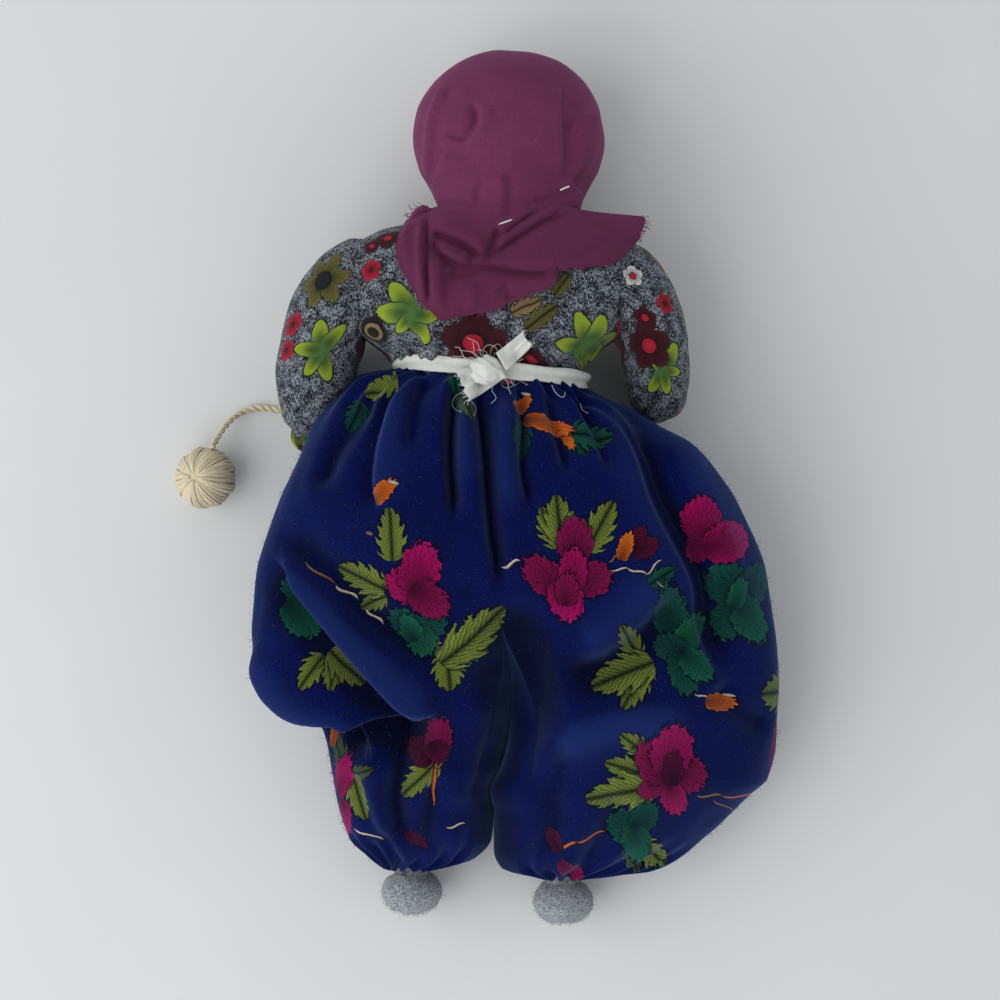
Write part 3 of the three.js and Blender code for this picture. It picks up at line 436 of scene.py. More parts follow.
class Look:
    """One procedural material."""

    def __init__(self, name, roughness, sheen=0.0, tint=(255, 255, 255), specular=0.25, nap=0.45):
        self.material = bpy.data.materials.new(name)
        self.material.use_nodes = True
        self.tree = self.material.node_tree
        self.shader = self.tree.nodes["Principled BSDF"]
        settings = {
            "Roughness": roughness,
            "Sheen Weight": sheen,
            "Sheen Roughness": nap,
            "Sheen Tint": linear(*tint),
            "Specular IOR Level": specular,
        }
        for socket, value in settings.items():
            self.shader.inputs[socket].default_value = value

    def feed(self, socket, value):
        if isinstance(value, Flow):
            self.tree.links.new(value.socket, socket)
        else:
            socket.default_value = value

    def node(self, kind, inputs=(), out=0, **settings):
        made = self.tree.nodes.new("ShaderNode" + kind)
        for name, value in settings.items():
            setattr(made, name, value)
        for name, value in dict(inputs).items():
            self.feed(made.inputs[name], value)
        return Flow(self, made.outputs[out])

    def math(self, operation, *values):
        return self.node("Math", enumerate(values), operation=operation)

    def smooth(self, value, low, high):
        inputs = {"Value": value, "From Min": low, "From Max": high}
        return self.node("MapRange", inputs, interpolation_type="SMOOTHSTEP")

    def mix(self, share, a, b, blend="MIX"):
        inputs = {0: share, 6: a, 7: b}
        return self.node("Mix", inputs, out=2, data_type="RGBA", blend_type=blend)

    def noise(self, where, scale, detail):
        return self.node("TexNoise", {"Vector": where, "Scale": scale, "Detail": detail}, out="Fac")

    def attribute(self, name, out="Vector"):
        return self.node("Attribute", out=out, attribute_name=name)

    def split(self, vector):
        made = self.tree.nodes.new("ShaderNodeSeparateXYZ")
        self.tree.links.new(vector.socket, made.inputs[0])
        return [Flow(self, socket) for socket in made.outputs]

    def place(self):
        """Places on the object, in millimetres."""
        where = self.node("TexCoord", out="Object")
        return self.node("VectorMath", {0: where, 1: (1 / MM,) * 3}, operation="MULTIPLY")

    def stretch(self, vector, scales, turn=(0, 0, 0)):
        return self.node("Mapping", {"Vector": vector, "Scale": scales, "Rotation": turn})

    def weave(self, vector, pitch):
        """Height of a plain weave over the flat cloth, from 0 to 1."""
        x, y, _ = self.split(vector)
        warp = self.math("SINE", x * (2 * math.pi / pitch))
        weft = self.math("SINE", y * (2 * math.pi / pitch))
        return warp * weft * 0.5 + 0.5

    def finish(self, colour, height=None, strength=0.3, distance=0.2):
        self.feed(self.shader.inputs["Base Color"], colour)
        if height is not None:
            inputs = {"Strength": strength, "Distance": distance * MM, "Height": height}
            self.feed(self.shader.inputs["Normal"], self.node("Bump", inputs, out="Normal"))
        return self.material


# Printed motifs
FOLIAGE_LAYERS, FLOWER_LAYERS = (0, 1, 2), (3, 4, 5, 6, 7, 8)
LEAF, STEM, PETAL, DISC, LOBE = 0, 1, 0, 1, 2
PETAL_WIDE = 1.36
LOBE_HEART = (0.26, 0.42, 1.3, 1)
PALE_TIP = (1.7, 2.2, 2.0, 1)


def foliage(look, ground, layer, wobble, dark):
    """Leaves with toothed edges and hatched veins, and thin crooked twigs, over the ground colour."""
    u, v, kind = look.split(look.attribute(f"print_{layer}"))
    ink = look.attribute(f"ink_{layer}", "Color")
    side = abs(v)
    swell = look.math("MAXIMUM", 1 - u, 0.0) ** 0.75 * look.math("MAXIMUM", u + 1, 0.0) ** 0.45
    tooth = look.math("FRACT", u * 2.1 - side * 0.8 + wobble * 0.3)
    past = look.math("MAXIMUM", abs(u) - 0.93, 0.0)
    leaf = (swell * (tooth * 0.46 + 0.6) - side) * 0.5 - past * 2.5
    sway = v + (u * u * u - u) * 1.1
    bent = abs(sway)
    stem = ((1 - u * u * u * u) * 0.3 - bent) * 0.35
    edge = leaf + kind * (stem - leaf) + wobble * 0.06
    hatch = look.math("SINE", (u - side * 0.85) * 36 + wobble * 5) * 0.5 + 0.5
    rib = look.smooth(side, -0.06, 0.26)
    veins = rib * (hatch * 0.55 + 0.4) * (side * 0.5 + 0.7)
    twig = look.smooth(sway, -0.4, 0.2) * 0.75 + 0.3
    tone = veins + kind * (twig - veins)
    colour = look.mix(1.0, ink, tone, "MULTIPLY")
    shaded = look.mix(look.smooth(edge, -0.15, 0.0) * 0.92, ground, dark)
    return look.mix(look.smooth(edge, -0.015, 0.03), shaded, colour)


def flowers(look, ground, layer, wobble, dark):
    """Fan-shaped petals with ragged rims and dark veins, round centres and oblong lobes, over the ground."""
    u, v, kind = look.split(look.attribute(f"print_{layer}"))
    ink = look.attribute(f"ink_{layer}", "Color")
    out, wide = u + 1, v * PETAL_WIDE
    reach = look.math("SQRT", out * out + wide * wide) * 0.5
    fan = look.math("ARCTAN2", wide, out)
    rim = look.math("MAXIMUM", look.math("COSINE", fan), 0.0) ** 0.35
    ragged = abs(look.math("SINE", fan * 9 + wobble * 3.5))
    petal = rim - ragged * 0.11 - reach
    ring = look.math("SQRT", u * u + v * v)
    lobe = look.math("MAXIMUM", kind - 1, 0.0)
    kind = kind - lobe
    edge = petal + kind * ((1 - ring) * 0.6 - petal) + wobble * 0.05
    vein = look.smooth(abs(look.math("SINE", fan * 13 + wobble * 4 + reach * 2)), 0.0, 0.6)
    petal_tone = (reach * 0.9 + 0.16) * (vein * 0.55 + 0.45)
    lobe_tone = look.smooth(ring, 0.1, 0.8) * 0.4 + wobble * 0.12 + 0.6
    round_tone = 1 - ring * 0.4
    round_tone = round_tone + lobe * (lobe_tone - round_tone)
    tone = petal_tone + kind * (round_tone - petal_tone)
    colour = look.mix(1.0, ink, tone, "MULTIPLY")
    tip = look.smooth(edge, 0.1, 0.03) * look.smooth(ragged, 0.5, 0.1) * (1 - kind)
    colour = look.mix(tip * 0.5, colour, look.mix(1.0, ink, PALE_TIP, "MULTIPLY"))
    stalk = lobe * look.smooth(u, 0.7, -0.3)
    colour = look.mix(stalk, colour, look.mix(1.0, colour, LOBE_HEART, "MULTIPLY"))
    rim = look.smooth(edge, -0.15, 0.0) * (1 - lobe * look.smooth(u, 0.2, -0.4)) * 0.9
    shaded = look.mix(rim, ground, dark)
    return look.mix(look.smooth(edge, -0.01, 0.03), shaded, colour)


def printed(look, ground, wobble, dark):
    """All the print's layers over the ground colour."""
    for layer in FOLIAGE_LAYERS:
        ground = foliage(look, ground, layer, wobble, dark)
    for layer in FLOWER_LAYERS:
        ground = flowers(look, ground, layer, wobble, dark)
    return ground


class Motif:
    """One leaf, twig, petal, disc or lobe on the flat cloth, from its base to its tip."""

    def __init__(self, flower, kind, base, tip, half, ink):
        self.flower, self.kind, self.half, self.ink = flower, kind, half, ink
        self.base, self.tip = np.asarray(base, float), np.asarray(tip, float)

    def local(self, cloth):
        axis = self.tip - self.base
        long = np.linalg.norm(axis)
        axis = axis / long
        from_middle = cloth - (self.base + self.tip) / 2
        u = from_middle @ axis * 2 / long
        v = from_middle @ np.array([-axis[1], axis[0]]) / self.half
        return np.stack([u, v], axis=-1)

    def reach(self):
        return np.linalg.norm(self.tip - self.base) / 2 + self.half + 2

    def covers(self, place):
        """Whether a face has any corner on the motif or its dark rim."""
        if self.flower and self.kind == PETAL:
            out, wide = place[..., 0] + 1, place[..., 1] * PETAL_WIDE
            near = np.hypot(out, wide) / 2 < np.cos(np.clip(np.arctan2(wide, out), -1.5, 1.5)) ** 0.35 + 0.14
        else:
            near = np.all(np.abs(place) < (1.2, 1.35), axis=-1)
        return near.any(axis=1)


def paint(skins, motifs):
    """Gives every face corner its place on the motifs that cover it, later motifs above earlier ones."""
    for skin in skins:
        held, inks, count = {}, {}, {}
        for layers in (FOLIAGE_LAYERS, FLOWER_LAYERS):
            held[layers] = np.full((len(layers), len(skin.faces), 4, 3), OFF_MOTIF)
            held[layers][..., 2] = 0
            inks[layers] = np.zeros((len(layers), len(skin.faces), 4))
            count[layers] = np.zeros(len(skin.faces), int)
        for motif in motifs:
            layers = FLOWER_LAYERS if motif.flower else FOLIAGE_LAYERS
            middle = (motif.base + motif.tip) / 2
            near = np.linalg.norm(skin.corners.mean(axis=1) - middle, axis=1) < motif.reach()
            near = np.flatnonzero(near & ~skin.bare)
            if not len(near):
                continue
            place = motif.local(skin.corners[near])
            hit = motif.covers(place)
            faces, place = near[hit], place[hit]
            full = faces[count[layers][faces] == len(layers)]
            for stack in (held[layers], inks[layers]):
                stack[:-1, full] = stack[1:, full]
            count[layers][full] -= 1
            slot = count[layers][faces]
            held[layers][slot, faces, :, :2] = place
            held[layers][slot, faces, :, 2] = motif.kind
            inks[layers][slot, faces] = motif.ink
            count[layers][faces] += 1
        for layers in held:
            for k, layer in enumerate(layers):
                skin.prints[layer] = (held[layers][k], inks[layers][k])


class Cloth:
    """The skins of one garment as seen by the photograph, for finding the cloth under a pixel."""

    def __init__(self, skins):
        points, cloth = [], []
        for skin in skins:
            normal = grid_normals(skin.rings, skin.closed)
            up = normal[..., 2] > 0.12
            points.append(skin.rings[up])
            cloth.append(skin.cloth[:, : skin.rings.shape[1]][up])
        self.pixels, self.cloth = pixels_of(np.vstack(points)), np.vstack(cloth)

    def at(self, pixel):
        away = np.linalg.norm(self.pixels - np.asarray(pixel, float), axis=1)
        near = np.argsort(away)[:4]
        weight = 1 / (away[near] + 0.3)
        return (self.cloth[near] * weight[:, None]).sum(axis=0) / weight.sum()


def rose(middle, radius, turn, rng, inks):
    """A full-blown rose: five broad outer petals and three inner ones, drawn dark to light."""
    petals = []
    for count, near, far, half, shades in ((5, 0.1, 1.0, 0.5, inks[:2]), (3, -0.12, 0.55, 0.34, inks[1:])):
        order = list(range(0, count, 2)) + list(range(1, count, 2))
        for k in order:
            heading = turn + 2 * math.pi * (k + rng.uniform(-0.2, 0.2)) / count
            ahead = np.array([math.cos(heading), math.sin(heading)])
            size = radius * rng.uniform(0.8, 1.12)
            base, tip = middle + ahead * near * size, middle + ahead * far * size
            petals.append(Motif(True, PETAL, base, tip, half * size, shades[k % 2]))
        turn += 0.5
    return petals


# Camera, light and floor
SKY = (0.93, 0.97, 1.0, 1)
HORIZON, ZENITH = 1.2, 0.38
# Lights: place in metres, size and power
LIGHTS = {
    "window": ((-0.86, -0.3, 0.85), 1.7, 9.6),
    "lower_window": ((-0.78, -0.75, 0.8), 1.2, 1.8),
}
TABLE_REACH = 3000


def make_stage():
    data = bpy.data.cameras.new("camera")
    data.lens = data.sensor_width * VIEW_DISTANCE / (PIXELS * PIXEL_SIZE)
    data.clip_start, data.clip_end = 0.01, 20
    camera = bpy.data.objects.new("camera", data)
    camera.location = Vector(EYE) * MM
    bpy.context.scene.collection.objects.link(camera)
    bpy.context.scene.camera = camera
    bpy.context.scene.view_settings.view_transform = "Standard"

    world = bpy.data.worlds.new("room")
    world.use_nodes = True
    nodes, links = world.node_tree.nodes, world.node_tree.links
    nodes["Background"].inputs["Color"].default_value = SKY
    split = nodes.new("ShaderNodeSeparateXYZ")
    links.new(nodes.new("ShaderNodeTexCoord").outputs["Generated"], split.inputs[0])
    climb = nodes.new("ShaderNodeMapRange")
    climb.inputs["To Min"].default_value, climb.inputs["To Max"].default_value = HORIZON, ZENITH
    links.new(split.outputs["Z"], climb.inputs["Value"])
    links.new(climb.outputs["Result"], nodes["Background"].inputs["Strength"])
    bpy.context.scene.world = world
    for name, (place, size, power) in LIGHTS.items():
        lamp = bpy.data.lights.new(name, "AREA")
        lamp.shape, lamp.size, lamp.energy = "DISK", size, power
        light = bpy.data.objects.new(name, lamp)
        light.location = place
        light.rotation_euler = (-Vector(place)).to_track_quat("-Z", "Y").to_euler()
        bpy.context.scene.collection.objects.link(light)

    look = Look("table_top", 0.5)
    cloud = look.noise(look.place(), 0.012, 3)
    material = look.finish(look.mix(cloud, linear(212, 213, 213), linear(220, 221, 220)))
    corners = np.array([(-1, -1, 0), (1, -1, 0), (1, 1, 0), (-1, 1, 0)]) * TABLE_REACH
    floor = add_object("table_top", corners, [(0, 1, 2, 3)], material)


make_stage()


# Cream wool: the twisted yarn and the ball that hangs on it
YARN_DIAMETER = 2.3
YARN_PITCH = 5.2
# Radius of a ply and its distance from the yarn's middle, as shares of the diameter
PLY_RADIUS, PLY_OFFSET = 0.275, 0.225
BALL = np.array([-101.66, 4.4, 9.8])
BALL_RADIUS = 10.3
BALL_STRANDS, BALL_LOBES, TUFT_STRANDS = 104, 9, 16
YARN_KNOT = np.array([-72.66, 28.6, 2.3])
YARN_ROUTE = [
    (-75.41, 28.00, 2.30),
    (-78.66, 27.00, 1.15),
    (-84.56, 27.60, 1.15),
    (-90.46, 26.30, 1.65),
    (-95.26, 22.00, 5.30),
    (-98.26, 16.40, 10.30),
    (-99.14, 14.07, 13.48),
]


def wool_look():
    look = Look("cream_wool", 0.95, sheen=0.35, tint=(250, 244, 228), specular=0.1)
    place = look.place()
    fibre = look.noise(look.stretch(place, (1, 1, 3)), 2.6, 5)
    patch = look.noise(place, 0.35, 2)
    colour = look.mix(fibre, linear(184, 168, 134), linear(240, 230, 204))
    colour = look.mix(look.smooth(patch, 0.4, 0.75) * 0.35, colour, linear(196, 180, 142))
    return look.finish(colour, fibre, 0.8, 0.25)


cream_wool = wool_look()


def make_yarn():
    line = curve_through(YARN_ROUTE, 140)
    side, up = frames_along(line)
    turn = lengths(line) * 2 * np.pi / YARN_PITCH
    plies = []
    for start in (0, np.pi):
        swing = side * np.cos(turn + start)[:, None] + up * np.sin(turn + start)[:, None]
        plies.append(line + swing * YARN_DIAMETER * PLY_OFFSET)
    radii = [YARN_DIAMETER * PLY_RADIUS] * 2
    cord = strands("yarn", plies, radii, cream_wool, sides=10, floor=THREAD_FLOOR)
    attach(cord, "wool_ball")
    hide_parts("yarn_cord")
    return cord, line


def make_ball():
    """Yarns that run from a tuft near the top over the ball to the table, in soft lobes."""
    rng = np.random.default_rng(7)
    pole = unit(np.array([-0.28, 0.04, 0.96]))
    first = unit(np.cross(pole, [0, 1, 0]))
    second = np.cross(pole, first)
    paths, radii = [], []
    for k in range(BALL_STRANDS):
        azimuth = 2 * np.pi * (k + rng.uniform(-0.3, 0.3)) / BALL_STRANDS
        fall = np.linspace(0.06 + rng.uniform(0, 0.12), 2.75, 30)
        bulge = BALL_RADIUS - 0.75 + rng.uniform(-0.3, 0.3) + 0.35 * np.cos(BALL_LOBES * azimuth)
        bulge = bulge * (0.97 - 0.1 * np.exp(-((fall / 0.22) ** 2)))
        sway = azimuth + 0.1 * np.sin(fall * 2 + rng.uniform(0, 6)) * rng.uniform(-1, 1)
        around = np.cos(sway)[:, None] * first + np.sin(sway)[:, None] * second
        ahead = np.cos(fall)[:, None] * pole + np.sin(fall)[:, None] * around
        paths.append(BALL + ahead * bulge[:, None])
        radii.append(rng.uniform(0.5, 0.68) * (0.55 + 0.45 * np.sin(np.clip(fall, 0, np.pi / 2))))
    for k in range(TUFT_STRANDS):
        azimuth = 2 * np.pi * k / TUFT_STRANDS + rng.uniform(-0.2, 0.2)
        out = np.linspace(0, 1, 8)[:, None]
        around = np.cos(azimuth) * first + np.sin(azimuth) * second
        path = BALL + pole * (BALL_RADIUS - 1.2 - 0.8 * out) + around * out * rng.uniform(1.6, 2.6)
        paths.append(path)
        radii.append(np.full(8, 0.5))
    core = rounded_ball(BALL, np.full(3, BALL_RADIUS - 1.35), 48, 30)
    ball = strands("wool_ball_yarns", paths, radii, cream_wool, sides=6, floor=THREAD_FLOOR)
    heart = add_object("wool_ball_core", core[0], core[1], cream_wool)
    for made in (ball, heart):
        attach(made, "wool_ball")
    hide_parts("wool_ball")
    return [ball, heart]


def rounded_ball(middle, semi, around, down):
    """Points and faces of a ball, pressed flat on the table."""
    fall = np.linspace(0.02, np.pi - 0.02, down)
    turn = np.linspace(0, 2 * np.pi, around, endpoint=False)
    x = np.outer(np.sin(fall), np.cos(turn))
    y = np.outer(np.sin(fall), np.sin(turn))
    z = np.outer(np.cos(fall), np.ones(around))
    points = (np.stack([x, y, z], axis=-1) * semi + middle).reshape(-1, 3)
    points[:, 2] = np.maximum(points[:, 2], CLOTH_FLOOR)
    faces = []
    for r in range(down - 1):
        for c in range(around):
            n = (c + 1) % around
            faces.append((r * around + c, (r + 1) * around + c, (r + 1) * around + n, r * around + n))
    faces.append(tuple(range(around)))
    faces.append(tuple(reversed(range((down - 1) * around, down * around))))
    return points, faces


def make_yarn_knot():
    turn = np.linspace(0, 2 * np.pi, 60)
    x = np.sin(turn) + 2 * np.sin(2 * turn)
    y = np.cos(turn) - 2 * np.cos(2 * turn)
    loop = np.stack([x, y, -np.sin(3 * turn)], axis=1)
    path = YARN_KNOT + loop * 0.52 + [0.1, 0, 0.1]
    knot = strands("yarn_knot_loops", [path], [0.72], cream_wool, sides=8, floor=THREAD_FLOOR)
    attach(knot, "left_arm")
    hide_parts("yarn_knot")


def make_wool():
    cord, line = make_yarn()
    ball = make_ball()
    make_yarn_knot()


make_wool()


# Trousers: half of one wide bag at the hip that parts into two balloons towards the hems.
# Stations run from the waist to the hem: place along the body, reach outside and inside of the split,
# lowest and highest place, and how much the ring tilts.
LEFT_SPREAD, RIGHT_SPREAD = 77, 91
LEG_LENGTHS = {-1: 118, 1: 121}
SEAT_ROWS = [
    (36.6, 0.365, 0.29, 4.5, 0.775, 0.1),
    (34.9, 0.43, 0.35, 4, 0.815, 0.1),
    (33.3, 0.52, 0.396, 3, 0.845, 0.1),
    (29.4, 0.623, 0.495, 1, 0.878, 0.08),
    (20.9, 0.722, 0.626, -0.5, 0.937, 0.05),
    (9.2, 0.813, 0.747, -0.5, 0.985, 0),
]
LEG_ROWS = {
    -1: [
        (0, 0.892, 0, -0.008, 1),
        (0.18, 0.983, 0, -0.008, 0.985),
        (0.33, 1, 0, -0.008, 0.937),
        (0.44, 0.979, 0, -0.008, 0.89),
        (0.52, 0.922, 0, -0.008, 0.84),
        (0.57, 0.805, 0, -0.008, 0.81),
        (0.61, 0.727, 0, -0.008, 0.78),
        (0.72, 0.682, 0, -0.008, 0.715),
        (0.84, 0.649, 0.003, -0.008, 0.62),
        (0.92, 0.61, 0.014, 0.008, 0.525),
        (0.97, 0.532, 0.075, 0.048, 0.43),
        (1, 0.462, 0.234, 0.087, 0.357),
    ],
    1: [
        (0, 0.848, 0, -0.008, 1),
        (0.18, 0.954, 0, -0.008, 0.985),
        (0.36, 0.989, 0, -0.008, 0.937),
        (0.5, 1, 0, -0.008, 0.89),
        (0.63, 0.996, 0, -0.008, 0.825),
        (0.73, 0.967, 0, -0.008, 0.762),
        (0.78, 0.896, 0, -0.008, 0.715),
        (0.87, 0.78, 0, -0.008, 0.62),
        (0.93, 0.692, 0.002, 0.008, 0.525),
        (0.975, 0.571, 0.027, 0.048, 0.43),
        (1, 0.347, 0.154, 0.087, 0.357),
    ],
}
OUTER_COLUMNS, WALL_COLUMNS = 300, 44
TROUSER_ROWS = 230

# Folds seen in the photograph: height in millimetres, fade in pixels on the left and on the right of the
# path's direction, and path in pixels.
ROLL_EDGE = [(272, 548), (302, 590), (328, 622), (352, 651), (376, 680), (402, 706), (436, 722)]
ROLL_CREASE = [(262, 520), (300, 552), (340, 590), (366, 618), (394, 640), (424, 664), (446, 690)]
LIP = [(246, 640), (258, 672), (270, 694), (290, 710), (316, 719), (342, 725), (360, 742), (370, 766)]
LIP_INNER = [(330, 724), (362, 722), (392, 722), (430, 716)]
PANEL_EDGE = [(408, 372), (396, 398), (386, 428), (379, 458), (377, 484), (383, 520)]
FLANK = [
    (606, 390), (622, 416), (640, 452), (660, 508), (680, 545), (696, 580), (701, 616), (712, 652),
    (738, 690),
]
RIDGE = [(670, 570), (652, 600), (628, 626), (600, 644), (570, 656)]
KNEE = [(494, 792), (516, 762), (548, 740), (596, 722), (650, 716), (706, 722)]
TROUSER_FOLDS = [
    # folds with an overhanging edge: the left leg's roll, the bag's lip, the waist panel and the flank
    (ROLL_EDGE, [(5.6, 24, 4), (-8.5, 4, 42)], 3.2),
    (LIP, [(4.0, 26, 4), (-7.0, 4, 26)], 2.6),
    (LIP_INNER, [(2.5, 20, 4), (-6.5, 4, 26)], 2.0),
    (PANEL_EDGE, [(3.0, 30, 4), (-3.6, 4, 24)], 1.6),
    (FLANK, [(2.4, 7, 34), (-6.0, 20, 7)], -1.2),
] + plain_folds([
    (-4.4, 22, 10, ROLL_CREASE),
    # gathers that fall from the waist
    (-5.2, 9, 5, [(455, 370), (451, 407), (449, 440), (450, 475), (454, 530)]),
    (2.2, 9, 9, [(467, 378), (467, 430), (469, 490)]),
    (-5.4, 11, 5, [(476, 374), (481, 425), (485, 470), (489, 520), (500, 600)]),
    (2.6, 16, 8, [(500, 384), (503, 440), (510, 520)]),
    (-4.2, 8, 5, [(517, 374), (523, 430), (522, 468), (532, 515)]),
    (-3.2, 8, 6, [(544, 378), (556, 424), (570, 480)]),
    (-3.0, 8, 6, [(574, 380), (594, 424), (612, 475)]),
    (-3.2, 9, 5, [(428, 366), (416, 405), (410, 455)]),
    (-3.4, 12, 8, [(372, 388), (338, 440), (316, 495)]),
    # the hollow between the legs
    (-5.5, 30, 30, [(500, 590), (514, 640), (518, 690), (510, 740), (492, 800)]),
    (-3.5, 44, 40, [(470, 640), (490, 690), (490, 740), (480, 800)]),
    (2.2, 18, 18, [(468, 690), (466, 750), (460, 815)]),
    (3.0, 20, 18, [(655, 405), (684, 456), (710, 516), (728, 570), (736, 640)]),
    # ridges across the right leg, with the hollow between them
    (3.4, 14, 38, RIDGE),
    (-5.4, 34, 16, [(690, 588), (650, 630), (618, 656), (586, 672), (548, 684)]),
    (4.2, 15, 32, KNEE),
    (-3.0, 15, 15, [(560, 738), (556, 768), (554, 815), (545, 870)]),
    (-2.6, 12, 14, [(630, 796), (606, 834), (580, 872)]),
    (-3.0, 15, 15, [(716, 680), (740, 712), (776, 730)]),
    # folds of the lower left leg
    (-4.4, 15, 11, [(408, 708), (398, 752), (394, 800), (402, 856)]),
    (2.0, 14, 14, [(370, 745), (374, 800), (386, 850)]),
    (-3.0, 10, 12, [(442, 776), (430, 818), (424, 862)]),
    (-2.4, 9, 9, [(348, 764), (366, 812), (388, 860)]),
])
# How far the valley between the legs strays from the split, by place along the body
VALLEY = [
    (36.6, 0), (-24, 0), (-42, 2.2), (-60, 5.5), (-76, 5), (-88, 2.4), (-96, -1.6), (-104, 0), (-128, 0),
]
LEG_PART = (0.28, 0.85)
WAIST_PLEATS, HEM_PLEATS = 15, 13
# The hem turned in round the ankle: share of the hem's ring and way along the body
HEM_TUCK = ((0.82, -0.6), (0.62, 0.6), (0.4, 3))
LINT, LINT_RADIUS = 2200, 0.045


def half_stations(side):
    spread = LEFT_SPREAD if side < 0 else RIGHT_SPREAD
    rows = []
    for y, left, right, low, high, tilt in SEAT_ROWS:
        rows.append((y, (left if side < 0 else right) * spread, 0, low, high * TROUSERS_BACK, tilt))
    for along, outside, inside, low, high in LEG_ROWS[side]:
        y = HIP_Y - along * LEG_LENGTHS[side]
        rows.append((y, outside * spread, inside * spread, low * TROUSERS_BACK, high * TROUSERS_BACK, 0))
    return rows


def stations_at(side, y):
    return eased_columns(half_stations(side), y)


def corner_split(section, side, corner_top, corner_low):
    """A closed section as its outer arc and its inner wall, each evenly spaced, from the two corners."""
    order = section if side < 0 else section[::-1]
    first = np.argmin(np.linalg.norm(order - corner_top, axis=1))
    turned = np.roll(order, -first, axis=0)
    last = np.argmin(np.linalg.norm(turned - corner_low, axis=1))
    outer = even(turned[: last + 1], OUTER_COLUMNS + 1)[:-1]
    wall = even(np.vstack([turned[last:], turned[:1]]), WALL_COLUMNS + 1)[:-1]
    return np.vstack([outer, wall])


def parting(y):
    """0 where the halves are one bag, 1 where they are two legs."""
    return smoothstep(HIP_Y - y, LEG_PART[0] * LEG_LENGTHS[-1], LEG_PART[1] * LEG_LENGTHS[-1])


def half_ring(side, y):
    outside, inside, low, high, tilt = (float(v) for v in stations_at(side, y))
    far = float(stations_at(-side, y)[0])
    edges = sorted((SPLIT_X + side * outside, SPLIT_X - side * far))
    bag = rounded_section(*edges, low, high, 2.4)
    bag[:, 0] = held_outside(bag[:, 0], SPLIT_X, side)
    on_wall = bag[np.isclose(bag[:, 0], SPLIT_X)]
    bag = corner_split(bag, side, on_wall[on_wall[:, 1].argmax()], on_wall[on_wall[:, 1].argmin()])
    edges = sorted((SPLIT_X + side * outside, SPLIT_X + side * inside))
    own = rounded_section(*edges, low, high, 2.2)
    inner = SPLIT_X + side * (inside + 0.12 * (outside - inside))
    upper, lower = own[own[:, 1] > (low + high) / 2], own[own[:, 1] <= (low + high) / 2]
    top = upper[np.argmin(np.abs(upper[:, 0] - inner))]
    bottom = lower[np.argmin(np.abs(lower[:, 0] - inner))]
    own = corner_split(own, side, top, bottom)
    ring = bag + (own - bag) * parting(y)
    return np.stack([ring[:, 0], y - tilt * (ring[:, 0] - TORSO_X), ring[:, 1]], axis=1)


def gathers(outer, side, hem):
    """Lift of the pleats under the tape and round the hem and of the stuffing, and the waist's pleats."""
    share = np.arange(OUTER_COLUMNS + 1) / OUTER_COLUMNS
    y = outer[..., 1]
    pleat = np.cos(2 * np.pi * (share * WAIST_PLEATS + 0.25 * np.sin(share * 23 + side)))
    uneven = 0.7 + 0.5 * ripple(outer, 16, 3)
    lift = 0.9 * smoothstep(y, 10, 31) * smoothstep(y, 37, 33) * pleat * uneven
    hem_pleat = np.cos(2 * np.pi * (share * HEM_PLEATS + 0.2 * np.sin(share * 17)))
    lift += 1.1 * smoothstep(hem + 16 - y, 0, 14) * hem_pleat
    lift += 0.6 * ripple(outer, 17, 11) + 0.35 * ripple(outer * [1, 0.6, 1], 7, 12)
    return lift, pleat


def outer_cloth(flat, side, hem):
    """The outer cloth of one half with its gathers and folds, and the height of the folds."""
    normal = grid_normals(flat, closed=False)
    up = smoothstep(normal[..., 2], -0.05, 0.45)
    y = flat[..., 1]
    lift, pleat = gathers(flat, side, hem)
    height, lean = folded(pixels_of(flat), TROUSER_FOLDS)
    height = up * height
    lift = (lift + height) * smoothstep(flat[..., 2], 0.5, 8)
    outer = flat + normal * lift[..., None]
    outer[..., 1] += 0.7 * pleat * smoothstep(y, 30, 35)
    outer[..., :2] += lean * (up * smoothstep(y, 36, 28))[..., None]
    outer[..., 0] = np.where((outer[..., 0] - SPLIT_X) * side < 0, SPLIT_X, outer[..., 0])
    one_bag = y[:, 0] > HIP_Y - LEG_PART[0] * LEG_LENGTHS[-1]
    outer[:, 0, 0] = np.where(one_bag, SPLIT_X, outer[:, 0, 0])
    return outer, height


def inner_wall(wall, side, edge, moved_edge):
    """The wall of one half: the two lie against each other below the rounded top of the valley."""
    climb = np.linspace(0, 1, wall.shape[1] + 1)[:-1, None]
    wall = wall + (moved_edge - edge) * climb
    deep = smoothstep(moved_edge[..., 2] - wall[..., 2], 0, 4 + 13 * parting(wall[..., 1]))
    lower_end = HIP_Y - 0.97 * LEG_LENGTHS[-1], HIP_Y - 0.86 * LEG_LENGTHS[-1]
    meet = deep * smoothstep(wall[..., 2], 0, 6) * smoothstep(wall[..., 1], *lower_end)
    wall[..., 0] += (SPLIT_X + side * 0.02 - wall[..., 0]) * meet
    return wall


def tucked(rings):
    """The rings with more that turn the hem in."""
    middle = rings[-1].mean(axis=0)
    return np.concatenate([rings, [middle + (rings[-1] - middle) * s + [0, d, 0] for s, d in HEM_TUCK]])


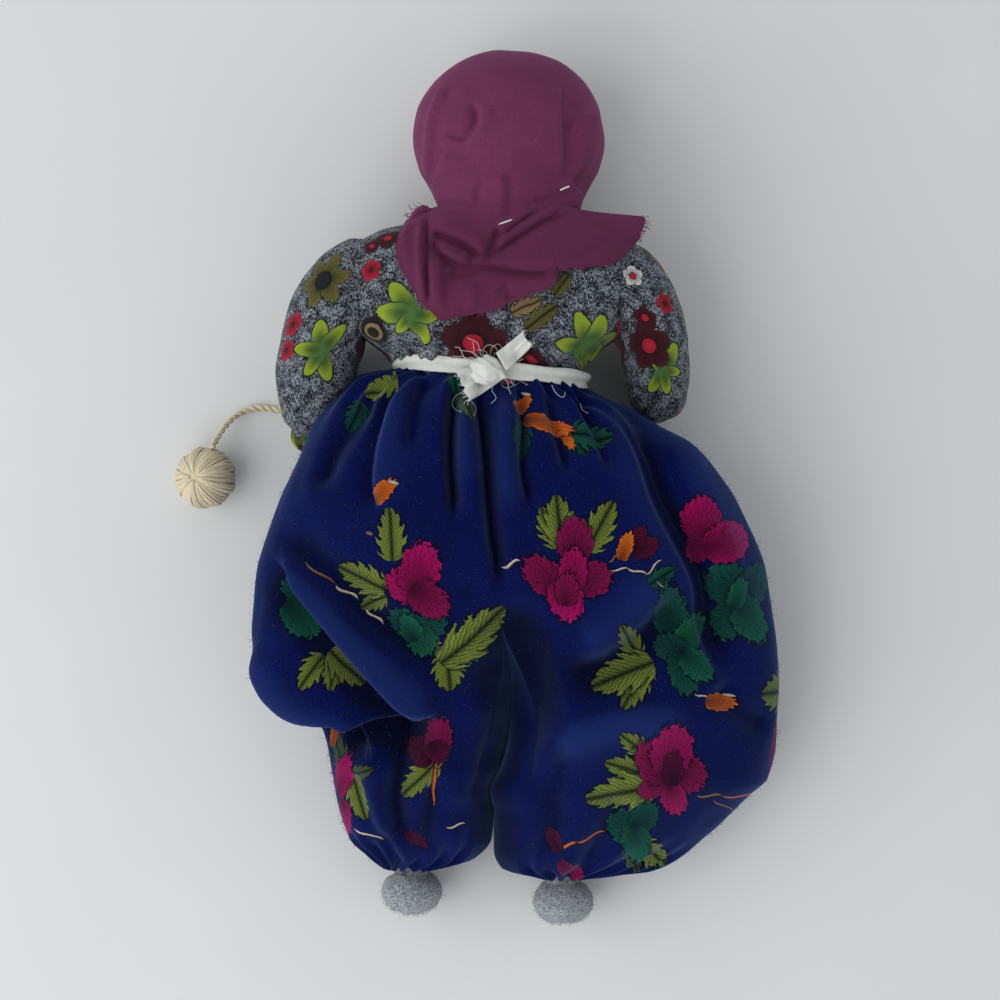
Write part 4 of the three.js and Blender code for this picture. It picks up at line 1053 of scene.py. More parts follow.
def trouser_skin(side):
    hem = HIP_Y - LEG_LENGTHS[side]
    places = WAISTBAND_Y + (hem - WAISTBAND_Y) * np.linspace(0, 1, TROUSER_ROWS)
    base = np.array([half_ring(side, y) for y in places])
    outer, height = outer_cloth(base[:, : OUTER_COLUMNS + 1], side, hem)
    wall = inner_wall(base[:, OUTER_COLUMNS:], side, base[:, :1], outer[:, :1])
    rings = np.concatenate([outer[:, :-1], wall], axis=1)
    near = np.exp(-(((rings[..., 0] - SPLIT_X) / 26) ** 2))
    rings[..., 0] += eased(VALLEY, rings[..., 1]) * near
    rings[..., 2] = np.maximum(rings[..., 2], CLOTH_FLOOR)
    rings, base = tucked(rings), tucked(base)
    across = ring_cloth(base, 0) + np.abs(base[:, :1, 0] - SPLIT_X)
    skin = Skin(rings, side * across, along_rows(base), caps=(True, True))
    skin.bare = np.arange(len(skin.faces)) % rings.shape[1] >= OUTER_COLUMNS
    # painted highlight and shade: the material paints the fold ridges pale and the hollows and the valley
    # dark
    skin.painted_fold_shading = np.zeros(rings.shape[:2])
    skin.painted_fold_shading[:TROUSER_ROWS, :OUTER_COLUMNS] = height[:, :-1]
    from_valley = rings[..., 0] - SPLIT_X - eased(VALLEY, rings[..., 1])
    below_hip = smoothstep(HIP_Y - rings[..., 1], 32, 58)
    skin.painted_fold_shading -= 5 * np.exp(-((from_valley / 8) ** 2)) * below_hip
    return skin


FLANNEL_INKS = {
    "magenta": linear(146, 6, 78),
    "crimson": linear(116, 8, 62),
    "wine": linear(74, 6, 38),
    "light": linear(112, 126, 48),
    "green": linear(18, 82, 58),
    "teal": linear(14, 64, 52),
    "moss": linear(66, 84, 38),
    "orange": linear(190, 92, 18),
    "white": linear(188, 172, 152),
    "tan": linear(128, 92, 62),
}
ROSE_INKS = [FLANNEL_INKS[name] for name in ("magenta", "crimson", "magenta")]

# Motifs as they lie in the photograph, in pixels, each by its two ends, half width and ink
PETALS = [
    # the rose on the left leg and the green one under it
    ((420, 634), (388, 610), 15, "teal"),
    ((418, 634), (446, 616), 14, "teal"),
    ((420, 626), (424, 658), 16, "green"),
    ((416, 642), (404, 612), 12, "green"),
    ((424, 590), (384, 578), 21, "magenta"),
    ((414, 594), (428, 540), 22, "magenta"),
    ((412, 586), (450, 616), 19, "crimson"),
    # the rose on the right of the seat, and its bud
    ((562, 592), (522, 556), 18, "crimson"),
    ((574, 584), (614, 572), 19, "crimson"),
    ((560, 580), (572, 624), 19, "magenta"),
    ((575, 562), (575, 514), 19, "crimson"),
    ((574, 588), (573, 546), 15, "magenta"),
    ((566, 606), (568, 570), 12, "crimson"),
    ((632, 552), (660, 541), 12, "wine"),
    ((634, 548), (644, 524), 8, "wine"),
    ((621, 560), (631, 530), 8, "orange"),
    # the rose on the right flank and the green one under it
    ((738, 596), (710, 566), 22, "teal"),
    ((738, 596), (768, 572), 22, "teal"),
    ((736, 604), (722, 642), 20, "teal"),
    ((738, 604), (768, 640), 21, "green"),
    ((734, 608), (744, 576), 12, "green"),
    ((710, 534), (690, 564), 14, "crimson"),
    ((706, 536), (696, 494), 20, "magenta"),
    ((704, 548), (748, 534), 21, "magenta"),
    # the green rose on the right leg
    ((682, 652), (666, 580), 18, "teal"),
    ((682, 650), (702, 610), 14, "green"),
    ((684, 654), (652, 640), 15, "teal"),
    ((680, 650), (690, 698), 18, "teal"),
    ((684, 654), (714, 680), 15, "green"),
    # the open rose low on the right leg
    ((666, 774), (640, 798), 13, "crimson"),
    ((670, 780), (638, 742), 20, "crimson"),
    ((678, 770), (706, 784), 20, "crimson"),
    ((670, 772), (676, 722), 24, "magenta"),
    ((670, 786), (680, 816), 14, "magenta"),
    ((672, 786), (674, 750), 11, "wine"),
    ((640, 832), (604, 822), 18, "teal"),
    ((636, 830), (656, 802), 15, "teal"),
    ((634, 826), (640, 862), 16, "green"),
    # buds and blossoms low on the left leg
    ((434, 760), (408, 740), 14, "wine"),
    ((434, 760), (442, 716), 13, "crimson"),
    ((430, 742), (446, 762), 11, "wine"),
    ((338, 796), (354, 752), 15, "magenta"),
    ((342, 800), (340, 842), 14, "magenta"),
    ((306, 600), (280, 582), 16, "teal"),
    ((286, 602), (320, 636), 17, "green"),
]
LEAVES = [
    ((393, 562), (388, 506), 15, "light"),
    ((386, 596), (360, 608), 11, "light"),
    ((386, 590), (338, 566), 16, "light"),
    ((446, 656), (450, 692), 14, "light"),
    ((450, 652), (488, 648), 13, "light"),
    ((440, 664), (506, 606), 19, "light"),
    ((560, 548), (540, 506), 14, "light"),
    ((562, 548), (556, 494), 17, "light"),
    ((586, 552), (614, 500), 16, "light"),
    ((650, 585), (676, 568), 9, "green"),
    ((640, 658), (620, 624), 12, "light"),
    ((648, 664), (622, 710), 15, "light"),
    ((654, 662), (590, 688), 19, "light"),
    ((646, 754), (620, 734), 11, "light"),
    ((650, 776), (604, 762), 14, "light"),
    ((656, 786), (584, 800), 21, "light"),
    ((628, 842), (668, 870), 16, "light"),
    ((628, 846), (634, 874), 10, "moss"),
    ((324, 654), (298, 690), 14, "light"),
    ((338, 652), (330, 692), 13, "light"),
    ((330, 650), (366, 684), 15, "light"),
    ((346, 770), (332, 734), 11, "moss"),
    ((350, 776), (374, 768), 8, "moss"),
    ((350, 774), (366, 820), 15, "light"),
    ((436, 762), (402, 796), 14, "light"),
    ((524, 420), (520, 460), 10, "teal"),
    ((572, 430), (588, 456), 11, "teal"),
    ((570, 432), (614, 436), 15, "green"),
    ((452, 372), (458, 396), 8, "green"),
    ((458, 392), (474, 422), 9, "moss"),
    ((398, 378), (364, 396), 10, "light"),
    ((362, 400), (348, 432), 11, "teal"),
]
TWIGS = [
    ((306, 561), (336, 585), 1.1, "tan"),
    ((336, 585), (358, 600), 1.7, "white"),
    ((366, 608), (383, 625), 1.7, "white"),
    ((501, 566), (521, 561), 2.2, "white"),
    ((608, 570), (630, 569), 1.4, "white"),
    ((627, 568), (648, 575), 1.4, "white"),
    ((645, 575), (662, 560), 1.4, "white"),
    ((608, 562), (620, 554), 1.4, "tan"),
    ((656, 580), (679, 600), 1.2, "white"),
    ((694, 693), (708, 699), 1.4, "white"),
    ((696, 795), (724, 797), 1.8, "tan"),
    ((722, 796), (754, 799), 1.6, "orange"),
    ((712, 800), (734, 814), 1.2, "tan"),
    ((551, 850), (580, 842), 2.2, "orange"),
    ((576, 842), (606, 832), 2.0, "orange"),
    ((438, 760), (434, 806), 2.2, "orange"),
    ((434, 768), (448, 760), 1.6, "tan"),
    ((354, 828), (384, 840), 1.6, "white"),
    ((446, 827), (466, 824), 1.6, "white"),
]
BUDS = [
    ((376, 503), (397, 479), 8, "orange"),
    ((515, 407), (532, 394), 7, "orange"),
    ((560, 424), (574, 451), 5, "orange"),
    ((524, 420), (576, 432), 9, "orange"),
    ((705, 701), (739, 704), 9, "orange"),
    ((560, 853), (547, 827), 8, "wine"),
    ((559, 861), (582, 880), 9, "crimson"),
    ((406, 830), (428, 850), 6, "wine"),
    ((332, 747), (322, 719), 6, "orange"),
    ((770, 788), (775, 720), 8, "crimson"),
]
CAPS = [
    ((388, 481), (399, 484), 1.4, "white"),
    ((521, 393), (531, 395), 1.4, "white"),
    ((722, 694), (736, 696), 1.4, "white"),
    ((366, 532), (373, 534), 1.6, "tan"),
    ((503, 381), (513, 381), 5, "magenta"),
]
TWIG_SWAY = 2.2
# Places of the roses that the photograph doesn't show, along the body and across the cloth
BOUQUET_ROWS, BOUQUET_COLUMNS = (22, -22, -62, -96), (112, 152)


def flannel_motifs(cloth):
    rng = np.random.default_rng(21)
    motifs = []
    for flower, kind, marks, swell in (
        (False, LEAF, LEAVES, 1), (False, STEM, TWIGS, TWIG_SWAY), (True, PETAL, PETALS, 1),
        (True, PETAL, BUDS, 1), (True, DISC, CAPS, 1),
    ):
        for base, tip, half, ink in marks:
            ends = cloth.at(base), cloth.at(tip)
            motifs.append(Motif(flower, kind, *ends, half * swell * PIXEL_SIZE, FLANNEL_INKS[ink]))
    for side in (-1, 1):
        for row, y in enumerate(BOUQUET_ROWS):
            for column in BOUQUET_COLUMNS:
                middle = np.array([side * (column + 14 * (row % 2)), y + rng.uniform(-5, 5)])
                motifs += bouquet(middle, rng)
    return motifs


def bouquet(middle, rng):
    """A rose with its leaves, for the cloth that the photograph doesn't show."""
    made = []
    turn = rng.uniform(0, 6.3)
    for k, ink in enumerate(("light", "green", "moss", "light")):
        heading = turn + k * 1.57 + rng.uniform(-0.3, 0.3)
        ahead = np.array([math.cos(heading), math.sin(heading)])
        made.append(Motif(False, LEAF, middle + ahead * 8, middle + ahead * 25, 6.5, FLANNEL_INKS[ink]))
    ahead = np.array([math.cos(turn + 0.8), math.sin(turn + 0.8)])
    made.append(Motif(False, STEM, middle + ahead * 12, middle + ahead * 27, 1.5, FLANNEL_INKS["tan"]))
    return made + rose(middle, 13, turn, rng, ROSE_INKS)


def flannel_look():
    look = Look("blue_flannel", 0.95, sheen=0.42, tint=(110, 136, 190), specular=0.04, nap=0.5)
    place, cloth = look.place(), look.attribute("cloth")
    wobble = look.noise(place, 0.55, 2) * 2 - 1
    nap = look.noise(look.stretch(cloth, (1, 0.35, 1)), 3.2, 4)
    ground = look.mix(look.smooth(nap, 0.3, 0.75), linear(1, 6, 50), linear(6, 18, 84))
    patch = look.noise(place, 0.06, 2)
    ground = look.mix(look.smooth(patch, 0.35, 0.7) * 0.45, ground, linear(1, 5, 44))
    # painted highlight on the folds and painted shade in the hollows: the ridges are painted pale and the
    # hollows dark
    painted_fold_shading = look.attribute("painted_fold_shading", "Fac")
    hollow = look.smooth(painted_fold_shading, -0.6, -5.0)
    ground = look.mix(look.smooth(painted_fold_shading, 0.4, 4.0) * 0.55, ground, linear(28, 44, 100))
    ground = look.mix(hollow * 0.75, ground, linear(1, 2, 24))
    dark = linear(2, 3, 10)
    colour = printed(look, ground, wobble, dark)
    # painted shade: the print is darkened in the hollows as well
    colour = look.mix(hollow * 0.3, colour, dark)
    faded = look.mix(look.smooth(nap, 0.5, 0.85) * 0.08, colour, linear(52, 62, 96))
    height = look.weave(cloth, 0.7) * 0.35 + nap
    return look.finish(faded, height, 0.55, 0.22)


def make_trousers():
    material = flannel_look()
    skins = [trouser_skin(side) for side in (-1, 1)]
    paint(skins, flannel_motifs(Cloth(skins)))
    for skin, side, name in zip(skins, (-1, 1), ("left", "right")):
        made = skin.make(f"{name}_trouser_half", material)
        sharpen_columns(made, skin, (0, OUTER_COLUMNS), HIP_Y - LEG_PART[0] * LEG_LENGTHS[-1] - 8)
        across_hip(made)
        nodes = ["trousers_seat"] * (side < 0) + [f"trousers_{name}_leg"]
        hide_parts(*nodes)
    return skins


def lint_look():
    look = Look("flannel_lint", 0.95, sheen=0.2, specular=0.04)
    shade = look.noise(look.place(), 0.4, 2)
    return look.finish(look.mix(shade, linear(2, 10, 54), linear(22, 34, 84)))


def make_lint(skin, name, material, seed):
    """Short fibres that stand off the brushed cloth."""
    rng = np.random.default_rng(seed)
    normal = grid_normals(skin.rings)
    rows = rng.integers(14, TROUSER_ROWS - 6, LINT)
    columns = rng.integers(4, OUTER_COLUMNS - 4, LINT)
    starts, aheads = skin.rings[rows, columns], normal[rows, columns]
    keep = starts[:, 2] > 2
    aheads = unit(aheads + rng.normal(0, 0.7, aheads.shape))[keep]
    paths = thread_paths(starts[keep], aheads, rng.uniform(0.5, 1.5, keep.sum()), rng, 0.6, 0.1)
    paths = [path[::2] for path in paths]
    made = strands(f"{name}_trouser_lint", paths, np.full(len(paths), LINT_RADIUS), material, sides=3)
    across_hip(made)


def across_hip(made):
    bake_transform(made)


def thread_paths(starts, aheads, lengths_mm, rng, curl, droop):
    """Short loose threads that leave an edge, curl a little and droop."""
    paths = []
    for start, ahead, long in zip(starts, aheads, lengths_mm):
        t = np.linspace(0, 1, 9)[:, None]
        bend = unit(np.cross(ahead, [0, 0, 1])) * rng.normal(0, curl)
        wave = unit(np.cross(ahead, [0, 0, 1])) * rng.normal(0, 0.25 * curl) * np.sin(t * rng.uniform(3, 8))
        path = start + ahead * long * t + bend * long * t**2 + wave * long
        path[:, 2] -= (droop * long * t**2)[:, 0]
        paths.append(path)
    return paths


def sharpen_columns(made, skin, columns, lowest):
    """Keeps the shading of the outer cloth apart from the wall where the two halves lie flush."""
    count = skin.rings.shape[1]
    edges = np.zeros(len(made.data.edges) * 2, int)
    made.data.edges.foreach_get("vertices", edges)
    column = edges.reshape(-1, 2) % count
    sharp = (column[:, 0] == column[:, 1]) & np.isin(column[:, 0], columns)
    sharp &= skin.points[edges[::2], 1] > lowest
    made.data.attributes.new("sharp_edge", "BOOLEAN", "EDGE").data.foreach_set("value", sharp)


trouser_skins = make_trousers()
flannel_lint = lint_look()
make_lint(trouser_skins[0], "left", flannel_lint, 23)
make_lint(trouser_skins[1], "right", flannel_lint, 24)


# Blouse and sleeves
BLOUSE_GROW = 1.55
BLOUSE_HEM, BLOUSE_TOP = 35.6, 85.6
BLOUSE_GRID = (96, 300)
BLOUSE_PLEATS = 34
BLOUSE_ROWS = [
    (35.6, 27, 5, 48, 2.4),
    (38, 28, 4, 49, 2.4),
    (44.2, 32.8, 1, 53, 2.5),
    (52.4, 42.8, -0.5, 55, 3.0),
    (65.8, 45.4, -0.5, 55, 3.5),
    (76.4, 43.7, 5, 52, 3.3),
    (82.2, 34.5, 9, 49, 2.9),
    (85.65, 23, 11, 46, 2.4),
]
# The blouse's neck edge turned in over the torso: share of the edge and rise
NECK_CLOSING = [(0.98, 0.4), (0.88, 0.42), (0.75, 0.42), (0.6, 0.42)]
BLOUSE_FOLDS = [
    (-1.6, 9, 9, [(628, 290), (622, 330), (604, 378)]),
    (1.0, 12, 12, [(606, 300), (598, 340), (584, 372)]),
    (-1.2, 7, 9, [(420, 330), (414, 350), (412, 368)]),
    (-1.2, 7, 7, [(446, 330), (444, 350), (446, 366)]),
    (-1.0, 7, 7, [(545, 325), (552, 350), (556, 378)]),
    (0.9, 9, 9, [(430, 322), (428, 345), (430, 366)]),
    (-1.0, 10, 8, [(364, 290), (380, 325), (392, 362)]),
]


def blouse_skin():
    rows = np.linspace(BLOUSE_HEM, BLOUSE_TOP, BLOUSE_GRID[0])
    count = BLOUSE_GRID[1]
    half, low, high, square = eased_columns(BLOUSE_ROWS, rows)
    half, low, high = half + BLOUSE_GROW, low - BLOUSE_GROW, high + BLOUSE_GROW
    rings = []
    for y, out, bottom, top, exponent in zip(rows, half, low, high, square):
        section = rounded_section(TORSO_X - out, TORSO_X + out, bottom, top, exponent)
        section[:, 0] = np.clip(section[:, 0], *ARMHOLES)
        rings.append(ring_at(y, section, count, (TORSO_X, bottom)))
    rings = np.array(rings)
    normal = grid_normals(rings)
    free = smoothstep(rings[..., 2], 0.5, 8)
    up = smoothstep(normal[..., 2], 0, 0.5)
    pucker = smoothstep(rings[..., 1], 50, 41) * smoothstep(rings[..., 1], 39, 43)
    share = np.arange(count) / count
    lift = 0.4 * ripple(rings, 14, 31) + 0.25 * ripple(rings, 6, 32)
    lift += 0.7 * pucker * np.cos(2 * np.pi * (share * BLOUSE_PLEATS + 0.3 * np.sin(share * 40)))
    lift += up * folded(pixels_of(rings), plain_folds(BLOUSE_FOLDS))[0]
    lift = np.maximum(lift, -3 * smoothstep(rings[..., 1], 84, 74))
    rings = rings + normal * (lift * free)[..., None]
    rings[..., 0] = np.clip(rings[..., 0], *ARMHOLES)
    rings[..., 1] = np.minimum(rings[..., 1], BLOUSE_TOP + NECK_CLOSING[0][1])
    neck = np.array([HEAD_X, BLOUSE_TOP, HEAD_Z])
    closed = [neck + (rings[-1] - neck) * [k, 0, k] + [0, rise, 0] for k, rise in NECK_CLOSING]
    rings = np.concatenate([rings, closed])
    return Skin(rings, -ring_cloth(rings, count // 2), along_columns(rings))


SLEEVES = {
    "left": {"side": -1, "reach": 26.5, "length": 62},
    "right": {"side": 1, "reach": 21.5, "length": 57},
}
SLEEVE_TOP_Y, SLEEVE_BACK = 79.5, 49.5
SLEEVE_TUCK = 1.6
SLEEVE_GRID = (84, 150)
SLEEVE_ROWS = [
    (1, 0.62, 0.4, 0.263, 0.545),
    (0.96, 0.83, 0.26, 0.214, 0.626),
    (0.88, 0.96, 0.1, 0.21, 0.727),
    (0.72, 1, 0.03, 0.25, 0.848),
    (0.52, 0.95, -0.1, 0.283, 0.95),
    (0.32, 0.82, -0.5, 0.303, 1),
    (0.17, 0.62, -0.6, 0.364, 0.99),
    (0.07, 0.4, -0.4, 0.444, 0.93),
    (0, 0.12, -0.12, 0.586, 0.788),
]


def sleeve_skin(name):
    arm = SLEEVES[name]
    side, reach = arm["side"], arm["reach"]
    seam = ARMHOLES[side > 0] + side * 0.35
    shares = 0.5 - 0.5 * np.cos(np.linspace(0, np.pi, SLEEVE_GRID[0]))
    count = SLEEVE_GRID[1]
    rings = []
    for share, out, inner, low, high in zip(shares, *eased_columns(SLEEVE_ROWS, shares)):
        ends = sorted((seam + side * out * reach, seam + side * inner * reach))
        section = rounded_section(*ends, low * SLEEVE_BACK, high * SLEEVE_BACK, 2.2)
        section[:, 0] = held_outside(section[:, 0], seam - side * SLEEVE_TUCK, side)
        y = SLEEVE_TOP_Y - share * arm["length"]
        rings.append(ring_at(y, section, count, (section[:, 0].mean(), 0)))
    rings = hug(np.array(rings), f"{name}_sleeve", SLEEVE_TUCK + 0.2)
    normal = grid_normals(rings)
    free = smoothstep(rings[..., 2], 0.5, 6)
    near_elbow = smoothstep(rings[..., 1], 48, 22)
    lift = 0.45 * ripple(rings, 13, 41) + (0.25 + 0.35 * near_elbow) * ripple(rings * [1, 1.6, 1], 7, 42)
    rings = rings + normal * (lift * free)[..., None]
    return Skin(rings, -ring_cloth(rings, count // 2), along_rows(rings), caps=(True, True))


ARM_POINTS = {
    "left": ((-71.2, 13.6, 5.6), (-59.06, 39.2, 4.7)),
    "right": ((48.54, 22.9, 6.3), (39.76, 44.2, 4.7)),
}
FOREARM_RADII = {"left": (5.9, 5.2), "right": (6.8, 5.2)}
HAND_RADIUS, HAND_LENGTH, THUMB = 5.4, 11, 1.6
STUB_GRID = (40, 60)


def stub_rings(start, end, radii, bluntness):
    rows, count = STUB_GRID
    start, end = np.array(start, float), np.array(end, float)
    share = 0.5 - 0.5 * np.cos(np.linspace(0, np.pi, rows))
    round_off = np.sqrt(np.maximum(0.02, 1 - np.abs(2 * share - 1) ** bluntness))
    path = start + (end - start) * share[:, None]
    rings = tube_points(path, (radii[0] + (radii[1] - radii[0]) * share) * round_off, count)
    rings[..., 2] = np.maximum(rings[..., 2], CLOTH_FLOOR)
    return rings


def stub_skin(rings, seed):
    normal = grid_normals(rings)
    free = smoothstep(rings[..., 2], 0.3, 3)
    rings = rings + normal * (0.25 * ripple(rings, 4, seed) * free)[..., None]
    return Skin(rings, ring_cloth(rings, rings.shape[1] // 2), along_rows(rings), caps=(True, True))


PRINT_INKS = {
    "lime": linear(128, 146, 40),
    "olive": linear(96, 92, 44),
    "red": linear(168, 26, 50),
    "maroon": linear(66, 16, 27),
    "tan": linear(150, 122, 84),
    "white": linear(206, 204, 200),
    "black": linear(26, 24, 26),
}
# Leaves like a hand: middle and the tips of the lobes, in pixels
LOBED_LEAVES = [
    ((413, 315), [(391, 283), (376, 312), (397, 333), (428, 343), (440, 317)]),
    ((322, 351), [(320, 320), (345, 325), (329, 381), (305, 376), (295, 348)]),
    ((587, 347), [(577, 312), (604, 315), (615, 338), (556, 342), (584, 376), (602, 362)]),
    ((663, 371), [(676, 343), (649, 392), (652, 362), (680, 372), (668, 394)]),
    ((277, 402), [(274, 390), (282, 414), (270, 408)]),
]
PLAIN_LEAVES = [
    ((511, 313), (544, 299), 8, "tan"),
    ((526, 329), (559, 304), 9, "olive"),
    ((553, 296), (571, 273), 7, "olive"),
    ((652, 258), (640, 240), 6, "olive"),
    ((346, 408), (330, 394), 6, "tan"),
]
# Other motifs: kind, middle, radius in pixels, turn and ink
SMALL_MOTIFS = [
    ("daisy", (323, 280), 29, 0.2, "olive"),
    ("flower", (371, 270), 12, 0.5, "red"),
    ("flower", (388, 238), 16, 0.9, "maroon"),
    ("flower", (372, 246), 10, 0.2, "maroon"),
    ("flower", (666, 261), 10, 0.1, "red"),
    ("flower", (665, 304), 11, 0.6, "red"),
    ("flower", (649, 346), 24, 0.4, "maroon"),
    ("flower", (645, 318), 12, 0.2, "maroon"),
    ("flower", (293, 325), 13, 0.2, "red"),
    ("flower", (286, 351), 12, 0.8, "red"),
    ("flower", (633, 276), 11, 0.3, "white"),
    ("flower", (473, 345), 35, 0.2, "maroon"),
    ("flower", (532, 360), 18, 0.5, "maroon"),
    ("ring", (373, 333), 16, 0, "tan"),
    ("ring", (391, 357), 17, 0, "tan"),
]
# Lobes of a leaf, petals of a flower as count and half width, and hearts as ink and share of the radius
LOBE_ANGLES = (-2.3, 2.3, -1.1, 1.1, 0)
PETAL_SETS = {"daisy": (6, 0.3), "flower": (5, 0.46)}
HEARTS = {"red": ("maroon", 0.2), "olive": ("black", 0.3)}
PLAIN_HEART = ("red", 0.3)
MOTIF_SPACING, STREWN_TRIES = 17, 400
STREWN_KINDS = ("hand_leaf", "flower", "daisy", "ring", "flower")
STREWN_INKS = {"hand_leaf": ("lime",), "ring": ("tan",), "daisy": ("olive",), "flower": ("red", "maroon")}
# Rows and columns of the forearm's cloth that carry a lobe at the elbow
ELBOW_SPOTS = ((9, 18), (9, 32), (9, 46))


def lobe(middle, tip, ink):
    ahead = tip - middle
    return Motif(True, LOBE, middle - 0.2 * ahead, tip, 0.25 * np.linalg.norm(ahead), PRINT_INKS[ink])


def small_motif(kind, middle, radius, turn, ink):
    """One motif of the blouse print, from lobes, petals and discs."""

    def heading(angle):
        return np.array([math.cos(turn + angle), math.sin(turn + angle)])

    def disc(share, tone):
        step = np.array([share * radius, 0])
        return Motif(True, DISC, middle - step, middle + step, share * radius, PRINT_INKS[tone])

    if kind == "hand_leaf":
        return [lobe(middle, middle + heading(angle) * radius, ink) for angle in LOBE_ANGLES]
    if kind == "ring":
        return [disc(1, "black"), disc(0.72, ink), disc(0.42, "black")]
    count, half = PETAL_SETS[kind]
    made = []
    for k in [*range(0, count, 2), *range(1, count, 2)]:
        ahead = heading(k * 2 * math.pi / count)
        base, tip = middle + ahead * 0.1 * radius, middle + ahead * radius
        made.append(Motif(True, PETAL, base, tip, half * radius, PRINT_INKS[ink]))
    heart, share = HEARTS.get(ink, PLAIN_HEART)
    return [*made, disc(share, heart)]


def hidden_motifs(skin, taken, spacing, rng):
    """Motifs strewn over the cloth that the photograph doesn't show, clear of the ones that it does."""
    made, places = [], list(taken)
    spots = skin.corners.mean(axis=1)
    hidden = grid_normals(skin.rings, skin.closed)[..., 2].ravel()[skin.faces[:, 0]] < 0.25
    for spot in rng.permutation(spots[hidden])[:STREWN_TRIES]:
        if all(np.linalg.norm(spot - p) > spacing for p in places):
            places.append(spot)
            kind = STREWN_KINDS[len(places) % len(STREWN_KINDS)]
            ink = STREWN_INKS[kind][len(places) % len(STREWN_INKS[kind])]
            made += small_motif(kind, spot, rng.uniform(0.26, 0.42) * spacing, rng.uniform(0, 6.3), ink)
    return made


def print_look():
    look = Look("flower_print", 0.88, sheen=0.12, tint=(220, 225, 235), specular=0.18)
    place, cloth = look.place(), look.attribute("cloth")
    wobble = look.noise(place, 0.9, 2) * 2 - 1
    fleck = look.noise(look.stretch(cloth, (1.6, 0.6, 1), (0, 0, 0.8)), 1.7, 6)
    streak = look.noise(look.stretch(cloth, (0.8, 1.5, 1), (0, 0, 0.5)), 1.1, 6)
    clump = look.noise(cloth, 0.28, 4)
    white = look.smooth(fleck * 0.62 + streak * 0.38 + (clump - 0.5) * 0.35, 0.44, 0.62)
    ground = look.mix(white, linear(20, 21, 26), linear(134, 140, 149))
    colour = printed(look, ground, wobble, linear(12, 11, 13))
    height = look.weave(cloth, 0.6) + fleck * 0.3
    return look.finish(colour, height, 0.4, 0.15)


def photo_motifs(views):
    """The motifs that the photograph shows, by the piece that carries them, and the places they take up."""
    found = {name: [] for name in views}
    taken = {name: [] for name in views}

    def carrier(pixel):
        return min(views, key=lambda name: np.linalg.norm(views[name].pixels - pixel, axis=1).min())

    for base, tip, half, ink in PLAIN_LEAVES:
        best = carrier(base)
        ends = views[best].at(base), views[best].at(tip)
        found[best].append(Motif(False, LEAF, *ends, half * PIXEL_SIZE, PRINT_INKS[ink]))
    for pixel, tips in LOBED_LEAVES:
        best = carrier(pixel)
        middle = views[best].at(pixel)
        taken[best].append(middle)
        found[best] += [lobe(middle, views[best].at(tip), "lime") for tip in tips]
    for kind, pixel, radius, turn, ink in SMALL_MOTIFS:
        best = carrier(pixel)
        middle = views[best].at(pixel)
        taken[best].append(middle)
        found[best] += small_motif(kind, middle, radius * PIXEL_SIZE, turn, ink)
    return found, taken


def make_blouse():
    material = print_look()
    rng = np.random.default_rng(5)
    skins = {"blouse_cloth": blouse_skin()}
    for name in SLEEVES:
        skins[f"{name}_sleeve_cloth"] = sleeve_skin(name)
        forearm = stub_rings(*ARM_POINTS[name], FOREARM_RADII[name], 4)
        skins[f"{name}_forearm_cloth"] = stub_skin(forearm, 51)
    found, taken = photo_motifs({name: Cloth([skin]) for name, skin in skins.items()})
    for name, skin in skins.items():
        motifs = found[name] + hidden_motifs(skin, taken[name], MOTIF_SPACING, rng)
        if "forearm" in name:
            for spot in ELBOW_SPOTS:
                elbow = skin.cloth[spot]
                motifs.append(lobe(elbow + [0, 3], elbow + [0, -5], "lime"))
        paint([skin], motifs)
        made = skin.make(name, material)
        body = "body" if name == "blouse_cloth" else name.split("_")[0] + "_arm"
        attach(made, body)
        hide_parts(name.removesuffix("_cloth"))
    return skins


blouse_skins = make_blouse()


def calico_look():
    look = Look("calico", 0.9, sheen=0.1, tint=(255, 240, 225), specular=0.15)
    place = look.place()
    slub = look.noise(look.stretch(place, (0.5, 3, 3)), 1.4, 3)
    colour = look.mix(slub, linear(205, 168, 132), linear(228, 196, 160))
    blush = look.noise(place, 0.05, 1)
    colour = look.mix(look.smooth(blush, 0.45, 0.7) * 0.3, colour, linear(214, 160, 130))
    return look.finish(colour, look.weave(place, 0.7) + slub * 0.4, 0.35, 0.15)


calico = calico_look()
for node in ("torso", "neck", "left_leg", "right_leg"):
    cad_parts[node].data.materials.clear()
    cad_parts[node].data.materials.append(calico)


def make_hands():
    for name, (_, wrist) in ARM_POINTS.items():
        side = SLEEVES[name]["side"]
        ahead = unit(np.array([-side * 0.05, 1, 0]))
        palm = np.array([wrist[0], wrist[1], HAND_RADIUS - 0.5]) + ahead * 0.35
        rings = stub_rings(palm, palm + ahead * HAND_LENGTH, (HAND_RADIUS, HAND_RADIUS), 2.6)
        beside = smoothstep((rings[..., 0] - palm[0]) * -side, 1.5, 4.5)
        thumb = np.exp(-(((rings[..., 1] - palm[1] - 4.5) / 1.8) ** 2)) * beside
        rings[..., 0] -= side * THUMB * thumb
        skin = stub_skin(rings, 61)
        made = skin.make(f"{name}_mitten", calico)
        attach(made, f"{name}_arm")
        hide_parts(f"{name}_hand")


make_hands()


# Scarf: a hood drawn round the head, and the loose corners that lie on the shoulders
HOOD_ROWS = [
    (84.8, 0.76),
    (87.5, 0.715),
    (91, 0.745),
    (96, 0.81),
    (102.5, 0.93),
    (112.5, 1.0),
    (121, 0.958),
    (129, 0.82),
    (135.5, 0.6),
    (139, 0.37),
    (140.6, 0.14),
    (141, 0.004),
]
HOOD_GRID = (190, 320)
HOOD_GATHERS = 21
HOOD_THICKNESS, DRAPE_THICKNESS = 1.0, 0.8
HEAD_GRID = (90, 160)
HEAD_LOW_Y, UNDER_CROWN, UNDER_HOOD = 99, 1.6, 1.5
FACE_OPENING = np.array([17.5, 14.0])
